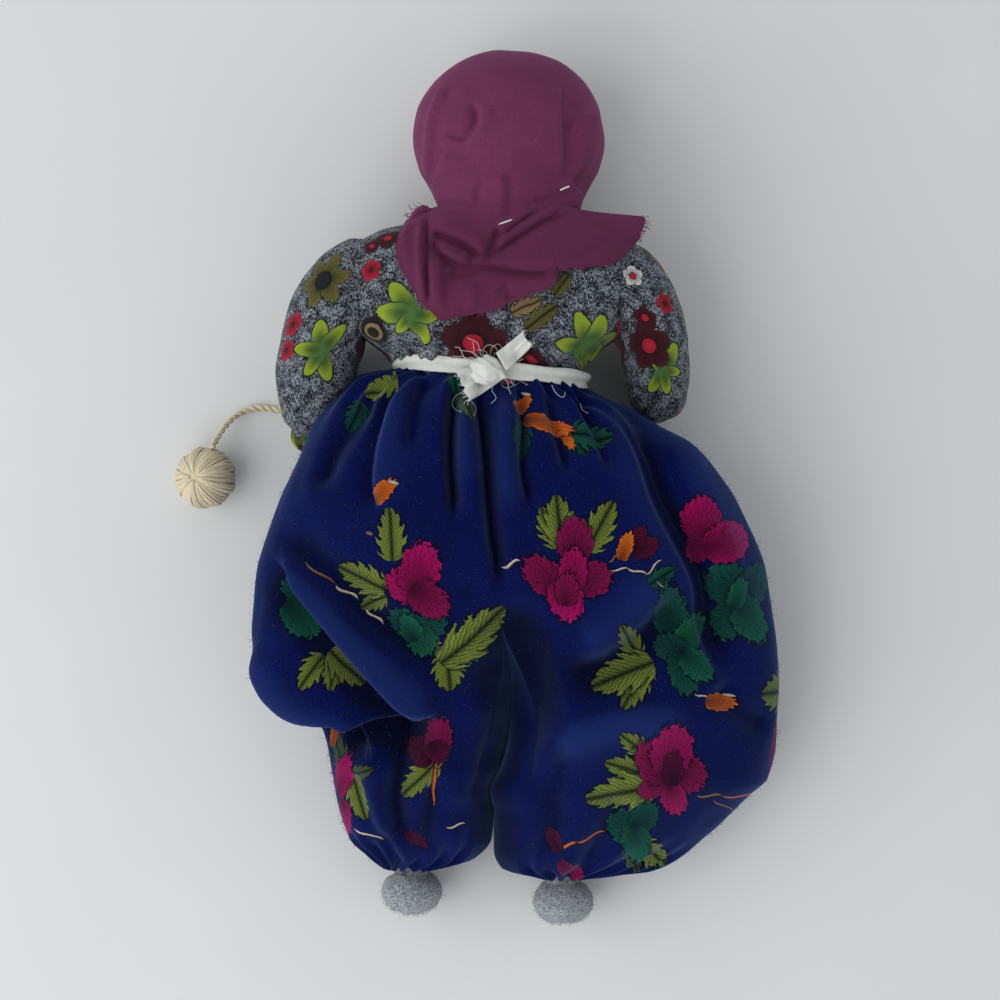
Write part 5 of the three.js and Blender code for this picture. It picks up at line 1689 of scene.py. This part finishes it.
# The face swells through the opening: half width, half height and depth
FACE_WIDE, FACE_HIGH, FACE_SWELL = 19.5, 16, 2.2
# Half axes of the head's front round the middle of the face
FRONT_WIDE, FRONT_HIGH, FRONT_DEEP = 29.15, 26.45, 26.15
EYES = {"left_eye": -8.5, "right_eye": 8.5}
EYE_UP, EYE_HALF_WIDE, EYE_HALF_HIGH = 4, 1.6, 1.7
MOUTH_HALF, MOUTH_DOWN = 4.5, 10
EYE_THREAD, MOUTH_THREAD = 0.26, 0.42
HOOD_FOLDS = [
    # the overlaid edge at the left of the neck, with the pocket behind it
    (2.4, 3, 30, [(427, 212), (430, 194), (439, 181), (446, 160), (452, 146)]),
    (-2.4, 10, 3, [(424, 206), (427, 192), (435, 178), (441, 160), (446, 146)]),
    # the light pull from the left of the neck to the crown
    (0.9, 3, 5, [(424, 186), (429, 150), (433, 122), (441, 101), (453, 80)]),
    (-0.8, 4, 9, [(433, 170), (436, 140), (440, 120), (449, 100), (460, 82)]),
    # the drawn edge at the right, from the crown side to the neck
    (2.4, 3, 26, [(592, 102), (590, 122), (584, 146), (571, 173), (564, 184)]),
    (-2.4, 18, 3, [(598, 112), (597, 130), (591, 152), (577, 177), (570, 190)]),
    # the right edge of the cloth that runs down over the neck
    (1.8, 3, 16, [(560, 172), (568, 181), (575, 193), (578, 206), (576, 216)]),
    (-1.8, 10, 3, [(566, 174), (574, 183), (581, 195), (584, 208)]),
    # the seam crease down the right of the back
    (1.3, 3, 22, [(557, 80), (557, 115), (557, 150), (556, 186)]),
    (-1.6, 16, 3, [(561, 82), (561, 115), (561, 150), (560, 182)]),
    (-1.2, 4, 7, [(581, 104), (572, 118), (562, 132)]),
    # the crescent dent
    (-1.7, 3, 5, [(471, 100), (477, 116), (474, 130), (462, 138), (444, 130)]),
    (1.0, 8, 5, [(482, 102), (486, 118), (481, 134), (466, 146)]),
    # faint creases over the neck
    (-0.8, 4, 6, [(448, 176), (470, 168), (490, 170)]),
    (-0.9, 4, 6, [(508, 214), (510, 190), (508, 168)]),
    (0.6, 6, 6, [(500, 212), (501, 190), (500, 170)]),
    (-0.7, 4, 6, [(478, 208), (480, 192), (486, 178)]),
    (-1.3, 3, 6, [(572, 188), (552, 197), (532, 208), (512, 220)]),
]
# The cloth comes no closer to the head than this, and starts just above the blouse's neck
HOOD_CLOSEST, HOOD_RIM_Y = -0.35, 86.35
# How far the cloth at the back of the neck stands off the neck, by place along the body
NECK_FILL = [(84.8, 0), (86.2, 1.4), (88.6, 5.2), (91, 4.8), (96, 3.4), (102.5, 1.2), (112.5, 0), (141, 0)]


def scarf_look():
    look = Look("plum_cotton", 0.86, sheen=0.2, tint=(214, 150, 190), specular=0.15)
    place = look.place()
    slub = look.noise(look.stretch(place, (0.3, 2.4, 1.2)), 1.2, 3)
    cross = look.noise(look.stretch(place, (2.4, 0.3, 1.2)), 1.2, 3)
    patch = look.noise(place, 0.045, 3)
    colour = look.mix(slub * 0.5 + cross * 0.5, linear(84, 29, 60), linear(120, 57, 91))
    colour = look.mix(look.smooth(patch, 0.4, 0.7) * 0.35, colour, linear(88, 35, 61))
    speck = look.smooth(look.noise(place, 1.5, 1), 0.74, 0.8)
    colour = look.mix(speck * 0.3, colour, linear(178, 120, 156))
    # painted shade: the cloth is painted darker further down the body, over the neck and the loose corners
    along = look.split(place)[1]
    colour = look.mix(look.smooth(along, 96, 76) * 0.5, colour, linear(76, 26, 52))
    height = look.weave(place, 0.55) * 0.6 + slub * 0.4 + cross * 0.4
    return look.finish(colour, height, 0.45, 0.16)


plum_cotton = scarf_look()


def head_rings(rows, count, shrink):
    share = eased(HOOD_ROWS, rows)
    turn = np.linspace(-np.pi / 2, 1.5 * np.pi, count, endpoint=False)
    wide = np.maximum(share * HOOD_WIDTH / 2 - shrink, 0.2)[:, None]
    deep = np.maximum(share * HOOD_DEPTH / 2 - shrink, 0.2)[:, None]
    x = HEAD_X + wide * np.cos(turn)
    z = HEAD_Z + deep * np.sin(turn)
    return np.stack([x, np.broadcast_to(rows[:, None], x.shape), np.maximum(z, 0)], axis=-1)


def face_share(points):
    return np.hypot((points[..., 0] - HEAD_X) / FACE_OPENING[0], (points[..., 1] - FACE_Y) / FACE_OPENING[1])


def face_swell(dx, dy):
    """How far the face stands out of the opening at an offset from its middle."""
    return FACE_SWELL * np.maximum(0, 1 - (dx / FACE_WIDE) ** 2 - (dy / FACE_HIGH) ** 2)


def make_hood():
    climb = np.linspace(0, 1, HOOD_GRID[0])
    rows = HOOD_RIM_Y + (CROWN_Y - HOOD_RIM_Y) * (0.35 * climb + 0.65 * np.sin(climb * np.pi / 2))
    count = HOOD_GRID[1]
    rings = head_rings(rows, count, 0)
    turn = np.arange(count) / count
    behind = smoothstep(-np.cos(2 * np.pi * turn), 0.05, 0.6)
    rings[..., 2] += eased(NECK_FILL, rows)[:, None] * behind
    normal = grid_normals(rings)
    up = smoothstep(normal[..., 2], 0.05, 0.5)
    neck = smoothstep(rings[..., 1], 104, 89)
    lift = 0.45 * ripple(rings, 15, 71) + 0.22 * ripple(rings, 6, 72)
    gather = np.cos(2 * np.pi * (turn * HOOD_GATHERS + 0.35 * np.sin(turn * 31)))
    lift += neck * gather * (0.45 + 0.3 * ripple(rings, 9, 73)) * (1 - 0.8 * behind)
    off_head = 1.2 * smoothstep(rings[..., 1], 86, 90)
    lift += up * (folded(pixels_of(rings), plain_folds(HOOD_FOLDS))[0] + off_head)
    lift = np.maximum(lift, HOOD_CLOSEST) * smoothstep(rings[..., 1], CROWN_Y, CROWN_Y - 1.5)
    rings = rings + normal * (lift * smoothstep(rings[..., 2], 0.2, 5))[..., None]
    rings[..., 1] = np.maximum(rings[..., 1], HOOD_RIM_Y)
    skin = Skin(rings, ring_cloth(rings, count // 2), along_rows(rings), caps=(False, True))

    def to_edge(points):
        middle = np.array([HEAD_X, FACE_Y])
        points[:, :2] = middle + (points[:, :2] - middle) / face_share(points)[:, None]
        return points

    skin.open_at(lambda p: (p[:, 2] < HEAD_Z) & (face_share(p) < 1), to_edge)
    made = skin.make("scarf_hood_cloth", plum_cotton)
    thicken(made, HOOD_THICKNESS, -1)
    across_neck(made)
    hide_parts("scarf_hood", "scarf_gather")
    area = surface_area(skin)
    return skin


def across_neck(made):
    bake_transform(made)


def thicken(made, thickness, offset):
    solid = made.modifiers.new("cloth_thickness", "SOLIDIFY")
    solid.thickness, solid.offset = thickness * MM, offset


def surface_area(skin):
    """Area of the cloth in square metres."""
    quad = skin.points[skin.faces] * MM
    crossed = np.cross(quad[:, 2] - quad[:, 0], quad[:, 3] - quad[:, 1])
    return float(np.linalg.norm(crossed, axis=1).sum() / 2)


def make_head():
    climb = np.sin(np.linspace(0, 1, HEAD_GRID[0]) * np.pi / 2)
    rows = HEAD_LOW_Y + (CROWN_Y - UNDER_CROWN - HEAD_LOW_Y) * climb
    rings = head_rings(rows, HEAD_GRID[1], UNDER_HOOD)
    front = rings[..., 2] < HEAD_Z
    rings[..., 2] -= np.where(front, face_swell(rings[..., 0] - HEAD_X, rings[..., 1] - FACE_Y), 0)
    rings[..., 2] = np.maximum(rings[..., 2], THREAD_FLOOR)
    skin = Skin(rings, ring_cloth(rings, HEAD_GRID[1] // 2), along_rows(rings), caps=(True, True))
    made = skin.make("stuffed_head", calico)
    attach(made, "head")
    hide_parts("head")


def thread_look(name, dark, light):
    look = Look(name, 0.6, sheen=0.2, specular=0.35)
    twist = look.noise(look.stretch(look.place(), (6, 2, 2)), 1.5, 3)
    return look.finish(look.mix(twist, linear(*dark), linear(*light)), twist, 0.5, 0.1)


def on_face(dx, dy):
    """The place on the front of the head at an offset from the middle of the face."""
    depth = math.sqrt(1 - (dx / FRONT_WIDE) ** 2 - (dy / FRONT_HIGH) ** 2)
    z = max(0.0, HEAD_Z - FRONT_DEEP * depth - face_swell(dx, dy)) - 0.12
    return np.array([HEAD_X + dx, FACE_Y + dy, z])


def make_face():
    dark = thread_look("dark_thread", (34, 22, 18), (66, 46, 38))
    red = thread_look("red_thread", (132, 34, 44), (182, 62, 70))
    for node, middle in EYES.items():
        stitches = []
        for k in np.linspace(-1, 1, 9):
            half = EYE_HALF_HIGH * math.sqrt(max(0.05, 1 - k * k))
            ends = [on_face(middle + EYE_HALF_WIDE * k, EYE_UP + s * half) for s in (-1, -0.4, 0.4, 1)]
            stitches.append(np.array(ends))
        eye = strands(f"{node}_stitches", stitches, [EYE_THREAD] * len(stitches), dark, floor=THREAD_FLOOR)
        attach(eye, "head")
        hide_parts(node)
    smile = [on_face(x, 0.09 * x * x - MOUTH_DOWN) for x in np.linspace(-MOUTH_HALF, MOUTH_HALF, 19)]
    stitches = [np.array(smile[k : k + 3]) + [0, 0.18 * (-1) ** (k // 2), 0] for k in range(0, 17, 2)]
    mouth = strands("mouth_stitches", stitches, [MOUTH_THREAD] * len(stitches), red, floor=THREAD_FLOOR)
    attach(mouth, "head")
    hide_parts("mouth")


hood_skin = make_hood()
make_head()
make_face()


# The scarf's loose corners: outline in pixels, from the left of the neck round to its right
DRAPE_OUTLINE = [
    (429, 213), (421, 206), (409, 219), (400, 234), (396, 250), (404, 274), (417, 296), (430, 312),
    (440, 319), (466, 315), (492, 311), (518, 300), (542, 290), (556, 284), (559, 271), (584, 268),
    (609, 264), (633, 247), (645, 219), (622, 222), (600, 219), (580, 215),
]
DRAPE_NECK = [(431, 210), (450, 203), (478, 200), (505, 199), (532, 200), (556, 203), (572, 208), (579, 214)]
DRAPE_FOLDS = [
    # the fold that falls straight from the left of the neck, with a panel at its left
    (-2.6, 3, 7, [(430, 208), (427, 240), (428, 275), (432, 312)]),
    (1.8, 9, 4, [(423, 214), (420, 245), (422, 280), (426, 306)]),
    (1.3, 4, 16, [(437, 250), (438, 280), (441, 312)]),
    # two crescent pleats that meet in the middle
    (-2.2, 3, 8, [(429, 231), (446, 237), (466, 246), (485, 258)]),
    (1.6, 9, 5, [(432, 224), (452, 229), (474, 240), (488, 252)]),
    (-2.2, 3, 9, [(430, 238), (440, 252), (458, 263), (482, 267)]),
    (1.5, 6, 5, [(438, 242), (452, 253), (472, 260)]),
    # creases that radiate from the tacked spot
    (-2.0, 4, 6, [(484, 262), (490, 250), (496, 238), (503, 226)]),
    (-2.0, 3, 5, [(488, 262), (504, 246), (524, 232), (548, 218), (576, 204)]),
    (1.8, 7, 4, [(492, 250), (512, 234), (540, 218), (566, 204)]),
    (-1.6, 3, 5, [(498, 240), (516, 226), (540, 210), (556, 198)]),
    (1.3, 5, 5, [(496, 232), (514, 218), (532, 206)]),
    # the long crease across, and the soft ridges of the right corner
    (-1.9, 3, 7, [(434, 283), (460, 272), (486, 266), (510, 269), (540, 271), (570, 266)]),
    (1.2, 8, 10, [(496, 258), (524, 260), (560, 254), (604, 238), (636, 226)]),
    (-1.2, 6, 7, [(560, 262), (594, 246), (622, 232)]),
    (0.9, 8, 10, [(470, 282), (472, 296), (476, 312)]),
    (-0.9, 7, 8, [(500, 284), (508, 292), (514, 300)]),
]
DRAPE_GRID = (90, 300)
# How ragged the torn edge is, how taut the cloth is pulled, and how often it is softened
RAGGED, TAUTNESS, SOFTENINGS = 0.9, 0.8, 14
FRAYS = 190
FRAYED_CORNERS = np.array([(416, 212), (645, 222)])


class Ground:
    """What loose cloth lies on: the highest of several skins under a place."""

    def __init__(self, skins):
        self.trees = [BVHTree.FromPolygons(s.points.tolist(), s.faces.tolist()) for s in skins]

    def height(self, x, y, default=0.0):
        hits = [tree.ray_cast(Vector((x, y, 200)), Vector((0, 0, -1)))[0] for tree in self.trees]
        return max([hit.z for hit in hits if hit is not None], default=default)


back = Ground(blouse_skins.values())
collar = Ground([hood_skin])
CORNER_Z = 43


def taut(heights):
    """Heights of a cloth pulled straight over these: their upper hull."""
    kept = []
    for k, height in enumerate(heights):
        while len(kept) > 1:
            a, b = kept[-2:]
            if (heights[b] - heights[a]) * (k - a) > (height - heights[a]) * (b - a):
                break
            kept.pop()
        kept.append(k)
    return np.interp(np.arange(len(heights)), kept, heights[kept])


def drape_rings():
    """Rows from the neck out to the outline, laid on the shoulders and then softened."""
    rows, columns = DRAPE_GRID
    outline = curve_through(DRAPE_OUTLINE, columns)
    rng = np.random.default_rng(81)
    stray = [np.convolve(rng.normal(size=columns), np.ones(3) / 3, "same") for _ in range(2)]
    outline += RAGGED * np.stack(stray, axis=1)
    neck = curve_through(DRAPE_NECK, columns)
    spread = np.clip((np.linspace(0, 1, columns) - 0.03) / 0.85, 0, 1) * 0.98 + np.linspace(0, 0.02, columns)
    neck = np.stack([np.interp(spread, np.linspace(0, 1, columns), neck[:, k]) for k in (0, 1)], axis=1)
    share = np.linspace(0, 1, rows)[:, None, None]
    flat = neck + (outline - neck) * share
    height = np.full((rows, columns), 50.0)
    for _ in range(2):
        places = under_pixel(flat, height)
        for r in range(rows):
            for c in range(columns):
                x, y, _ = places[r, c]
                over = 0.9 * smoothstep(share[r, 0, 0], 0.04, 0.35)
                height[r, c] = max(back.height(x, y, CORNER_Z) + 0.9, collar.height(x, y) + over)
    for c in range(columns):
        height[:, c] += TAUTNESS * (taut(height[:, c]) - height[:, c])
    for _ in range(SOFTENINGS):
        soft = height.copy()
        soft[1:-1] = 0.25 * height[:-2] + 0.5 * height[1:-1] + 0.25 * height[2:]
        soft[:, 1:-1] = 0.25 * soft[:, :-2] + 0.5 * soft[:, 1:-1] + 0.25 * soft[:, 2:]
        height = np.maximum(soft, height - 0.02)
    free = smoothstep(share[..., 0], 0, 0.2)
    stand = (0.7 + 1.5 * smoothstep(share[..., 0], 1, 0.82)) * smoothstep(share[..., 0], 0, 0.5)
    height = height + np.maximum(1.35 * folded(flat, plain_folds(DRAPE_FOLDS))[0] + stand, 0.0) * free
    height -= 0.7 * smoothstep(share[..., 0], 0.08, 0)
    rings = under_pixel(flat, height)
    rings[..., 2] += (0.25 * ripple(rings, 7, 82) + 0.35) * free
    return rings


def make_drape():
    rings = drape_rings()
    columns = rings.shape[1]
    across = np.broadcast_to(np.arange(columns) * 0.6, rings.shape[:2])
    skin = Skin(rings, across, rings[..., 1], closed=False)
    made = skin.make("scarf_drape_cloth", plum_cotton)
    thicken(made, DRAPE_THICKNESS, 0)
    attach(made, "body")
    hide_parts("scarf_drape")
    rng = np.random.default_rng(83)
    edge, before = rings[-1], rings[-3]
    picks = rng.choice(np.arange(4, columns - 4), FRAYS)
    aheads = unit(edge[picks] - before[picks] + rng.normal(0, 0.12, (FRAYS, 3)) * [1, 1, 0.3])
    from_corners = pixels_of(edge[picks])[:, None] - FRAYED_CORNERS
    near_corner = np.exp(-((np.linalg.norm(from_corners, axis=2).min(axis=1) / 16) ** 2))
    long = rng.uniform(0.5, 1.6, FRAYS) + 2.2 * near_corner * rng.uniform(0.3, 1, FRAYS)
    paths = thread_paths(edge[picks] - aheads * 0.4, aheads, long, rng, 0.35, 0.15)
    fray = strands("scarf_fray", paths, rng.uniform(0.07, 0.12, FRAYS), plum_cotton, sides=4)
    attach(fray, "body")
    area = surface_area(skin)
    return skin


drape_skin = make_drape()


# Waist tie: a torn strip of white cotton round the waist, knotted at the back, with frayed ends
KNOT = np.array([-9, 37.2, 55.6])
TAPE_HALF = 2.75
TAPE_TILT = 0.1
BAND_GRID, TAIL_GRID = (13, 360), (40, 25)
BAND_THICKNESS, TAIL_THICKNESS = 0.55, 0.45
TAIL_THREADS, KNOT_THREADS, BAND_THREADS = 16, 10, 16
# Heights at which the places under pixels are looked up, and those taken where no cloth is found
TAIL_Z, THREAD_Z, STITCH_Z = 56.0, 55.0, 48.0
BACK_Z, SIDE_Z = 50.0, 45.0
# The waist under the tape: half width, lowest and highest place, squareness
WAIST_SECTION = (28, 4, 49, 2.4)
KNOT_SIZE = np.array([5.1, 4.4, 2.9])
# Corners of the torn ends in pixels, two at the knot and two at the tip
TAILS = {
    "left": [(492, 358), (506, 377), (469, 402), (457, 370)],
    "right": [(496, 353), (506, 371), (532, 346), (523, 332)],
}
RIGHT_TAIL_HEADING = math.radians(42)


def tape_look():
    look = Look("white_tape", 0.9, sheen=0.15, specular=0.15)
    place = look.place()
    thread = look.noise(look.stretch(place, (3, 0.6, 1)), 1.6, 3)
    patch = look.noise(place, 0.25, 2)
    colour = look.mix(thread, linear(196, 196, 190), linear(228, 228, 222))
    colour = look.mix(look.smooth(patch, 0.45, 0.75) * 0.3, colour, linear(186, 184, 174))
    return look.finish(colour, look.weave(place, 0.6) + thread * 0.5, 0.5, 0.16)


white_tape = tape_look()


def tape_piece(made, *nodes):
    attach(made, "body")
    if nodes:
        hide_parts(*nodes)


def make_band():
    rows, count = BAND_GRID
    half, low, high, squareness = WAIST_SECTION
    section = rounded_section(TORSO_X - half, TORSO_X + half, low, high, squareness)
    section = ring_from(section, count, np.array([TORSO_X, low]))
    outward = unit(np.stack([np.gradient(section[:, 1]), -np.gradient(section[:, 0])], axis=1))
    v = np.linspace(-1, 1, rows)[:, None]
    share = np.arange(count)[None] / count
    spot = np.stack(np.broadcast_arrays(share * 180, v * 3, 0 * share), axis=-1)
    crumple = ripple(spot, 6, 91)
    rise = 3.2 + 0.75 * v + 0.25 * crumple + 0.4 * np.cos(4.2 * v + 3 * ripple(spot * [1, 0, 0], 22, 92))
    wide = TAPE_HALF * (0.94 + 0.1 * ripple(spot * [1, 0, 0], 9, 93))
    x = section[:, 0] + outward[:, 0] * rise
    z = section[:, 1] + outward[:, 1] * rise
    y = WAIST_Y - TAPE_TILT * (x - TORSO_X) + v * wide + 0.12 * ripple(spot, 9, 94)
    rings = np.stack([x, y, np.maximum(z, 0.4)], axis=-1)
    skin = Skin(rings, ring_cloth(rings, 0), along_rows(rings))
    made = skin.make("waist_tape_band", white_tape)
    thicken(made, BAND_THICKNESS, 0)
    tape_piece(made, "waist_tape")
    return skin


def make_knot():
    points, faces = rounded_ball(KNOT, KNOT_SIZE, 110, 64)
    points = points - KNOT
    ahead = np.array([math.cos(RIGHT_TAIL_HEADING), math.sin(RIGHT_TAIL_HEADING), 0])
    cross = np.array([-ahead[1], ahead[0], 0])
    along, over = points @ ahead, points @ cross
    wrap = smoothstep(np.abs(along + 0.25 * over), 2.7, 1.9)
    groove = np.exp(-(((np.abs(along + 0.25 * over) - 2.5) / 0.45) ** 2))
    pleat = 0.08 * np.cos(over * 2.6 + along) * (1 - wrap) + 0.07 * np.cos(along * 3.1 + 0.6 * over) * wrap
    lift = 0.5 * wrap - 0.35 * groove + pleat + 0.55 * ripple(points, 3.1, 95) + 0.3 * ripple(points, 1.5, 99)
    made = add_object("waist_tape_knot", KNOT + points + unit(points) * lift[:, None], faces, white_tape)
    tape_piece(made, "waist_knot")


def make_tail(name, corners, node, ground, seed):
    """One torn end of the tape, which leaves the knot and lies over the gathers, creased and ragged."""
    rows, columns = TAIL_GRID
    t, v = np.meshgrid(np.linspace(0, 1, rows), np.linspace(0, 1, columns), indexing="ij")
    ragged = 0.05 * ripple(np.stack([v * 9, 0 * v, 0 * v], axis=-1), 1.0, seed)
    t = t * (1 + ragged)
    root_a, root_b, tip_b, tip_a = (np.array(corner, float) for corner in corners)
    share = t[..., None], v[..., None]
    root, tip = root_a + (root_b - root_a) * share[1], tip_a + (tip_b - tip_a) * share[1]
    flat = under_pixel(root + (tip - root) * share[0], TAIL_Z)
    below = np.array([ground.height(x, y, BACK_Z) for x, y, _ in flat.reshape(-1, 3)]).reshape(t.shape)
    for _ in range(6):
        below[1:-1] = np.maximum(below, 0.0)[1:-1] * 0.5 + 0.25 * (below[:-2] + below[2:])
        below[:, 1:-1] = below[:, 1:-1] * 0.5 + 0.25 * (below[:, :-2] + below[:, 2:])
    crease = 0.9 * np.exp(-(((v - 0.62 + 0.12 * t) / 0.1) ** 2)) - 0.5 * np.exp(-(((v - 0.3) / 0.12) ** 2))
    curl = 1.1 * smoothstep(t, 0.55, 1) * (v - 0.35) ** 2 * 4
    rise = 1.0 + crease * (0.4 + 0.6 * t) + curl + 0.35 * ripple(flat, 2.6, seed)
    flat[..., 2] = below + (KNOT[2] + 0.6 - below) * (1 - smoothstep(t, 0, 0.5)) + np.maximum(rise, 0.4)
    skin = Skin(flat, v * 2 * TAPE_HALF, t * 12, closed=False)
    made = skin.make(name, white_tape)
    thicken(made, TAIL_THICKNESS, 0)
    tape_piece(made, node)
    return flat


def wandering(start, heading, length, rng, ground):
    """A loose thread that wanders over the cloth from a start."""
    steps = max(10, int(length / 0.5))
    turn = heading + np.cumsum(rng.normal(0, 0.28, steps)) + rng.normal(0, 0.06) * np.arange(steps)
    flat = start[:2] + np.cumsum(np.stack([np.cos(turn), np.sin(turn)], axis=1), axis=0) * length / steps
    height = np.array([ground.height(x, y, SIDE_Z) for x, y in flat]) + 0.35
    lifted = start[2] + (height - start[2]) * smoothstep(np.arange(steps), 0, 0.7 * steps)
    return np.column_stack([flat, np.maximum(lifted, height)])


# Long threads that show in the photograph, in pixels
LOOSE_THREADS = [
    [(462, 392), (455, 396), (452, 403), (455, 409), (461, 412)],
    [(552, 384), (556, 392), (563, 397), (566, 391)],
    [(581, 402), (583, 409), (589, 413)],
    [(484, 358), (483, 350), (488, 345), (495, 347), (499, 354)],
    [(490, 356), (492, 348), (498, 344), (503, 348)],
    [(503, 380), (502, 385), (507, 388), (513, 385), (513, 379), (508, 375)],
    [(436, 360), (430, 352), (423, 352), (420, 356)],
    [(446, 358), (440, 350), (433, 348)],
    [(470, 400), (476, 408), (474, 416)],
    [(497, 380), (492, 390), (496, 398), (491, 404)],
    [(503, 378), (516, 384), (522, 380), (528, 384)],
    [(486, 362), (472, 352), (460, 350)],
]


def laid(path, ground):
    """A thread along pixels, just above the cloth under it."""
    line = curve_through(path, 8 * len(path))
    flat = under_pixel(line, THREAD_Z)
    flat[:, 2] = [ground.height(x, y, BACK_Z) + 0.3 for x, y, _ in flat]
    return flat


def make_tape_threads(tails, ground):
    rng = np.random.default_rng(96)
    paths = [laid(path, ground) for path in LOOSE_THREADS]
    for rings in tails:
        edge, inner = rings[-1], rings[-3]
        for c in rng.choice(rings.shape[1], TAIL_THREADS):
            ahead = unit(edge[c] - inner[c])
            heading = math.atan2(ahead[1], ahead[0]) + rng.normal(0, 0.35)
            paths.append(wandering(edge[c] - ahead * 0.5, heading, rng.uniform(0.8, 2.4), rng, ground))
    for _ in range(KNOT_THREADS):
        angle = rng.uniform(0, 2 * np.pi)
        start = KNOT + [4.6 * math.cos(angle), 3.9 * math.sin(angle), 0.4]
        paths.append(wandering(start, angle + rng.normal(0, 0.6), rng.uniform(3, 10), rng, ground))
    for _ in range(BAND_THREADS):
        pixel = np.array([rng.uniform(428, 520), rng.uniform(350, 378)])
        x, y, _ = under_pixel(pixel, THREAD_Z)
        start = np.array([x, y, ground.height(x, y, BACK_Z) + 0.3])
        paths.append(wandering(start, rng.uniform(0, 6.3), rng.uniform(2, 7), rng, ground))
    tape_piece(strands("waist_tape_threads", paths, rng.uniform(0.05, 0.1, len(paths)), white_tape, sides=4))


def make_tie():
    band = make_band()
    make_knot()
    ground = Ground([*trouser_skins, *blouse_skins.values(), band])
    tails = [
        make_tail("left_tape_tail", TAILS["left"], "left_tape_end", ground, 97),
        make_tail("right_tape_tail", TAILS["right"], "right_tape_end", ground, 98),
    ]
    make_tape_threads(tails, ground)


make_tie()


# White tacking stitches on the scarf
def make_stitches():
    white = thread_look("white_thread", (200, 198, 194), (232, 230, 226))
    for name, skin, ends in (
        ("neck_stitch", drape_skin, ((499, 228), (512, 223))),
        ("hood_stitch", hood_skin, ((560, 191), (569, 187))),
    ):
        ground = Ground([skin])
        path = []
        for share in np.linspace(0, 1, 9):
            pixel = np.array(ends[0], float) * (1 - share) + np.array(ends[1], float) * share
            x, y, _ = under_pixel(pixel, STITCH_Z)
            path.append((x, y, ground.height(x, y, STITCH_Z) + 0.45 * math.sin(math.pi * share) + 0.15))
        made = strands(name, [np.array(path)], [0.3], white, sides=6)
        if skin is hood_skin:
            across_neck(made)
        else:
            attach(made, "body")


make_stitches()


# Felt feet
FEET = {"left": (-33.8, -121.65), "right": (15.8, -124.65)}
FOOT_SIZE = np.array([19.6, 14.8, 25.4])
FOOT_DROP, ANKLE_Z, ANKLE_RADIUS = 1.7, 14, 5.4
FOOT_ROWS, FOOT_COLUMNS, ANKLE_ROWS = 56, 120, 8
FOOT_FIBRES, FIBRE_RADIUS = 420, 0.05


def felt_look():
    look = Look("grey_felt", 0.97, sheen=0.3, tint=(225, 230, 240), specular=0.08)
    place = look.place()
    fleck = look.noise(place, 1.7, 5)
    hair = look.noise(look.stretch(place, (0.7, 2.6, 1.6), (0.4, 0.2, 0.8)), 1.8, 4)
    colour = look.mix(look.smooth(fleck, 0.32, 0.68), linear(96, 100, 103), linear(170, 174, 176))
    colour = look.mix(look.smooth(hair, 0.6, 0.72) * 0.6, colour, linear(196, 198, 202))
    colour = look.mix(look.smooth(hair, 0.38, 0.28) * 0.6, colour, linear(58, 62, 68))
    return look.finish(colour, fleck + hair * 0.6, 0.9, 0.4)


def foot_rings(x, y, middle):
    """Rings from the toe round the foot, and on up the ankle into the hem."""
    rings = []
    for angle in np.linspace(-1.5, 0.95, FOOT_ROWS):
        half = FOOT_SIZE / 2 * math.cos(angle)
        section = rounded_section(x - half[0], x + half[0], middle[2] - half[2], middle[2] + half[2], 2.2)
        along = middle[1] + FOOT_SIZE[1] / 2 * math.sin(angle)
        rings.append(ring_at(along, section, FOOT_COLUMNS, (x, 0)))
    turn = np.linspace(-np.pi / 2, 1.5 * np.pi, FOOT_COLUMNS, endpoint=False)
    for rise in np.linspace(0.4, 4.4, ANKLE_ROWS):
        along = np.full(FOOT_COLUMNS, y + rise - 1.2)
        ankle = x + ANKLE_RADIUS * np.cos(turn), along, ANKLE_Z + ANKLE_RADIUS * np.sin(turn)
        rings.append(np.stack(ankle, axis=1))
    return np.array(rings)


def make_feet():
    felt = felt_look()
    rng = np.random.default_rng(101)
    for name, (x, y) in FEET.items():
        middle = np.array([x, y - FOOT_SIZE[1] / 2 - FOOT_DROP, FOOT_SIZE[2] / 2 - 0.5])
        rings = foot_rings(x, y, middle)
        normal = grid_normals(rings)
        free = smoothstep(rings[..., 2], 0.2, 2.5)
        lift = 0.5 * ripple(rings, 5, 102) + 0.3 * ripple(rings, 1.9, 103)
        rings = rings + normal * (lift * free)[..., None]
        skin = Skin(rings, ring_cloth(rings, FOOT_COLUMNS // 2), along_rows(rings), caps=(True, True))
        made = skin.make(f"{name}_felt_foot", felt)
        picks = rng.choice(FOOT_ROWS * FOOT_COLUMNS, FOOT_FIBRES, replace=False)
        starts, aheads = rings.reshape(-1, 3)[picks], normal.reshape(-1, 3)[picks]
        keep = (starts[:, 2] > 1.5) & (starts[:, 1] < middle[1] + 2.5)
        aheads = unit(aheads + rng.normal(0, 0.6, aheads.shape))[keep]
        paths = thread_paths(starts[keep], aheads, rng.uniform(0.5, 1.5, keep.sum()), rng, 0.5, 0.1)
        fuzz = strands(f"{name}_foot_fuzz", paths, np.full(len(paths), FIBRE_RADIUS), felt, sides=3)
        for piece in (made, fuzz):
            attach(piece, f"{name}_foot")
        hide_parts(f"{name}_foot")


make_feet()
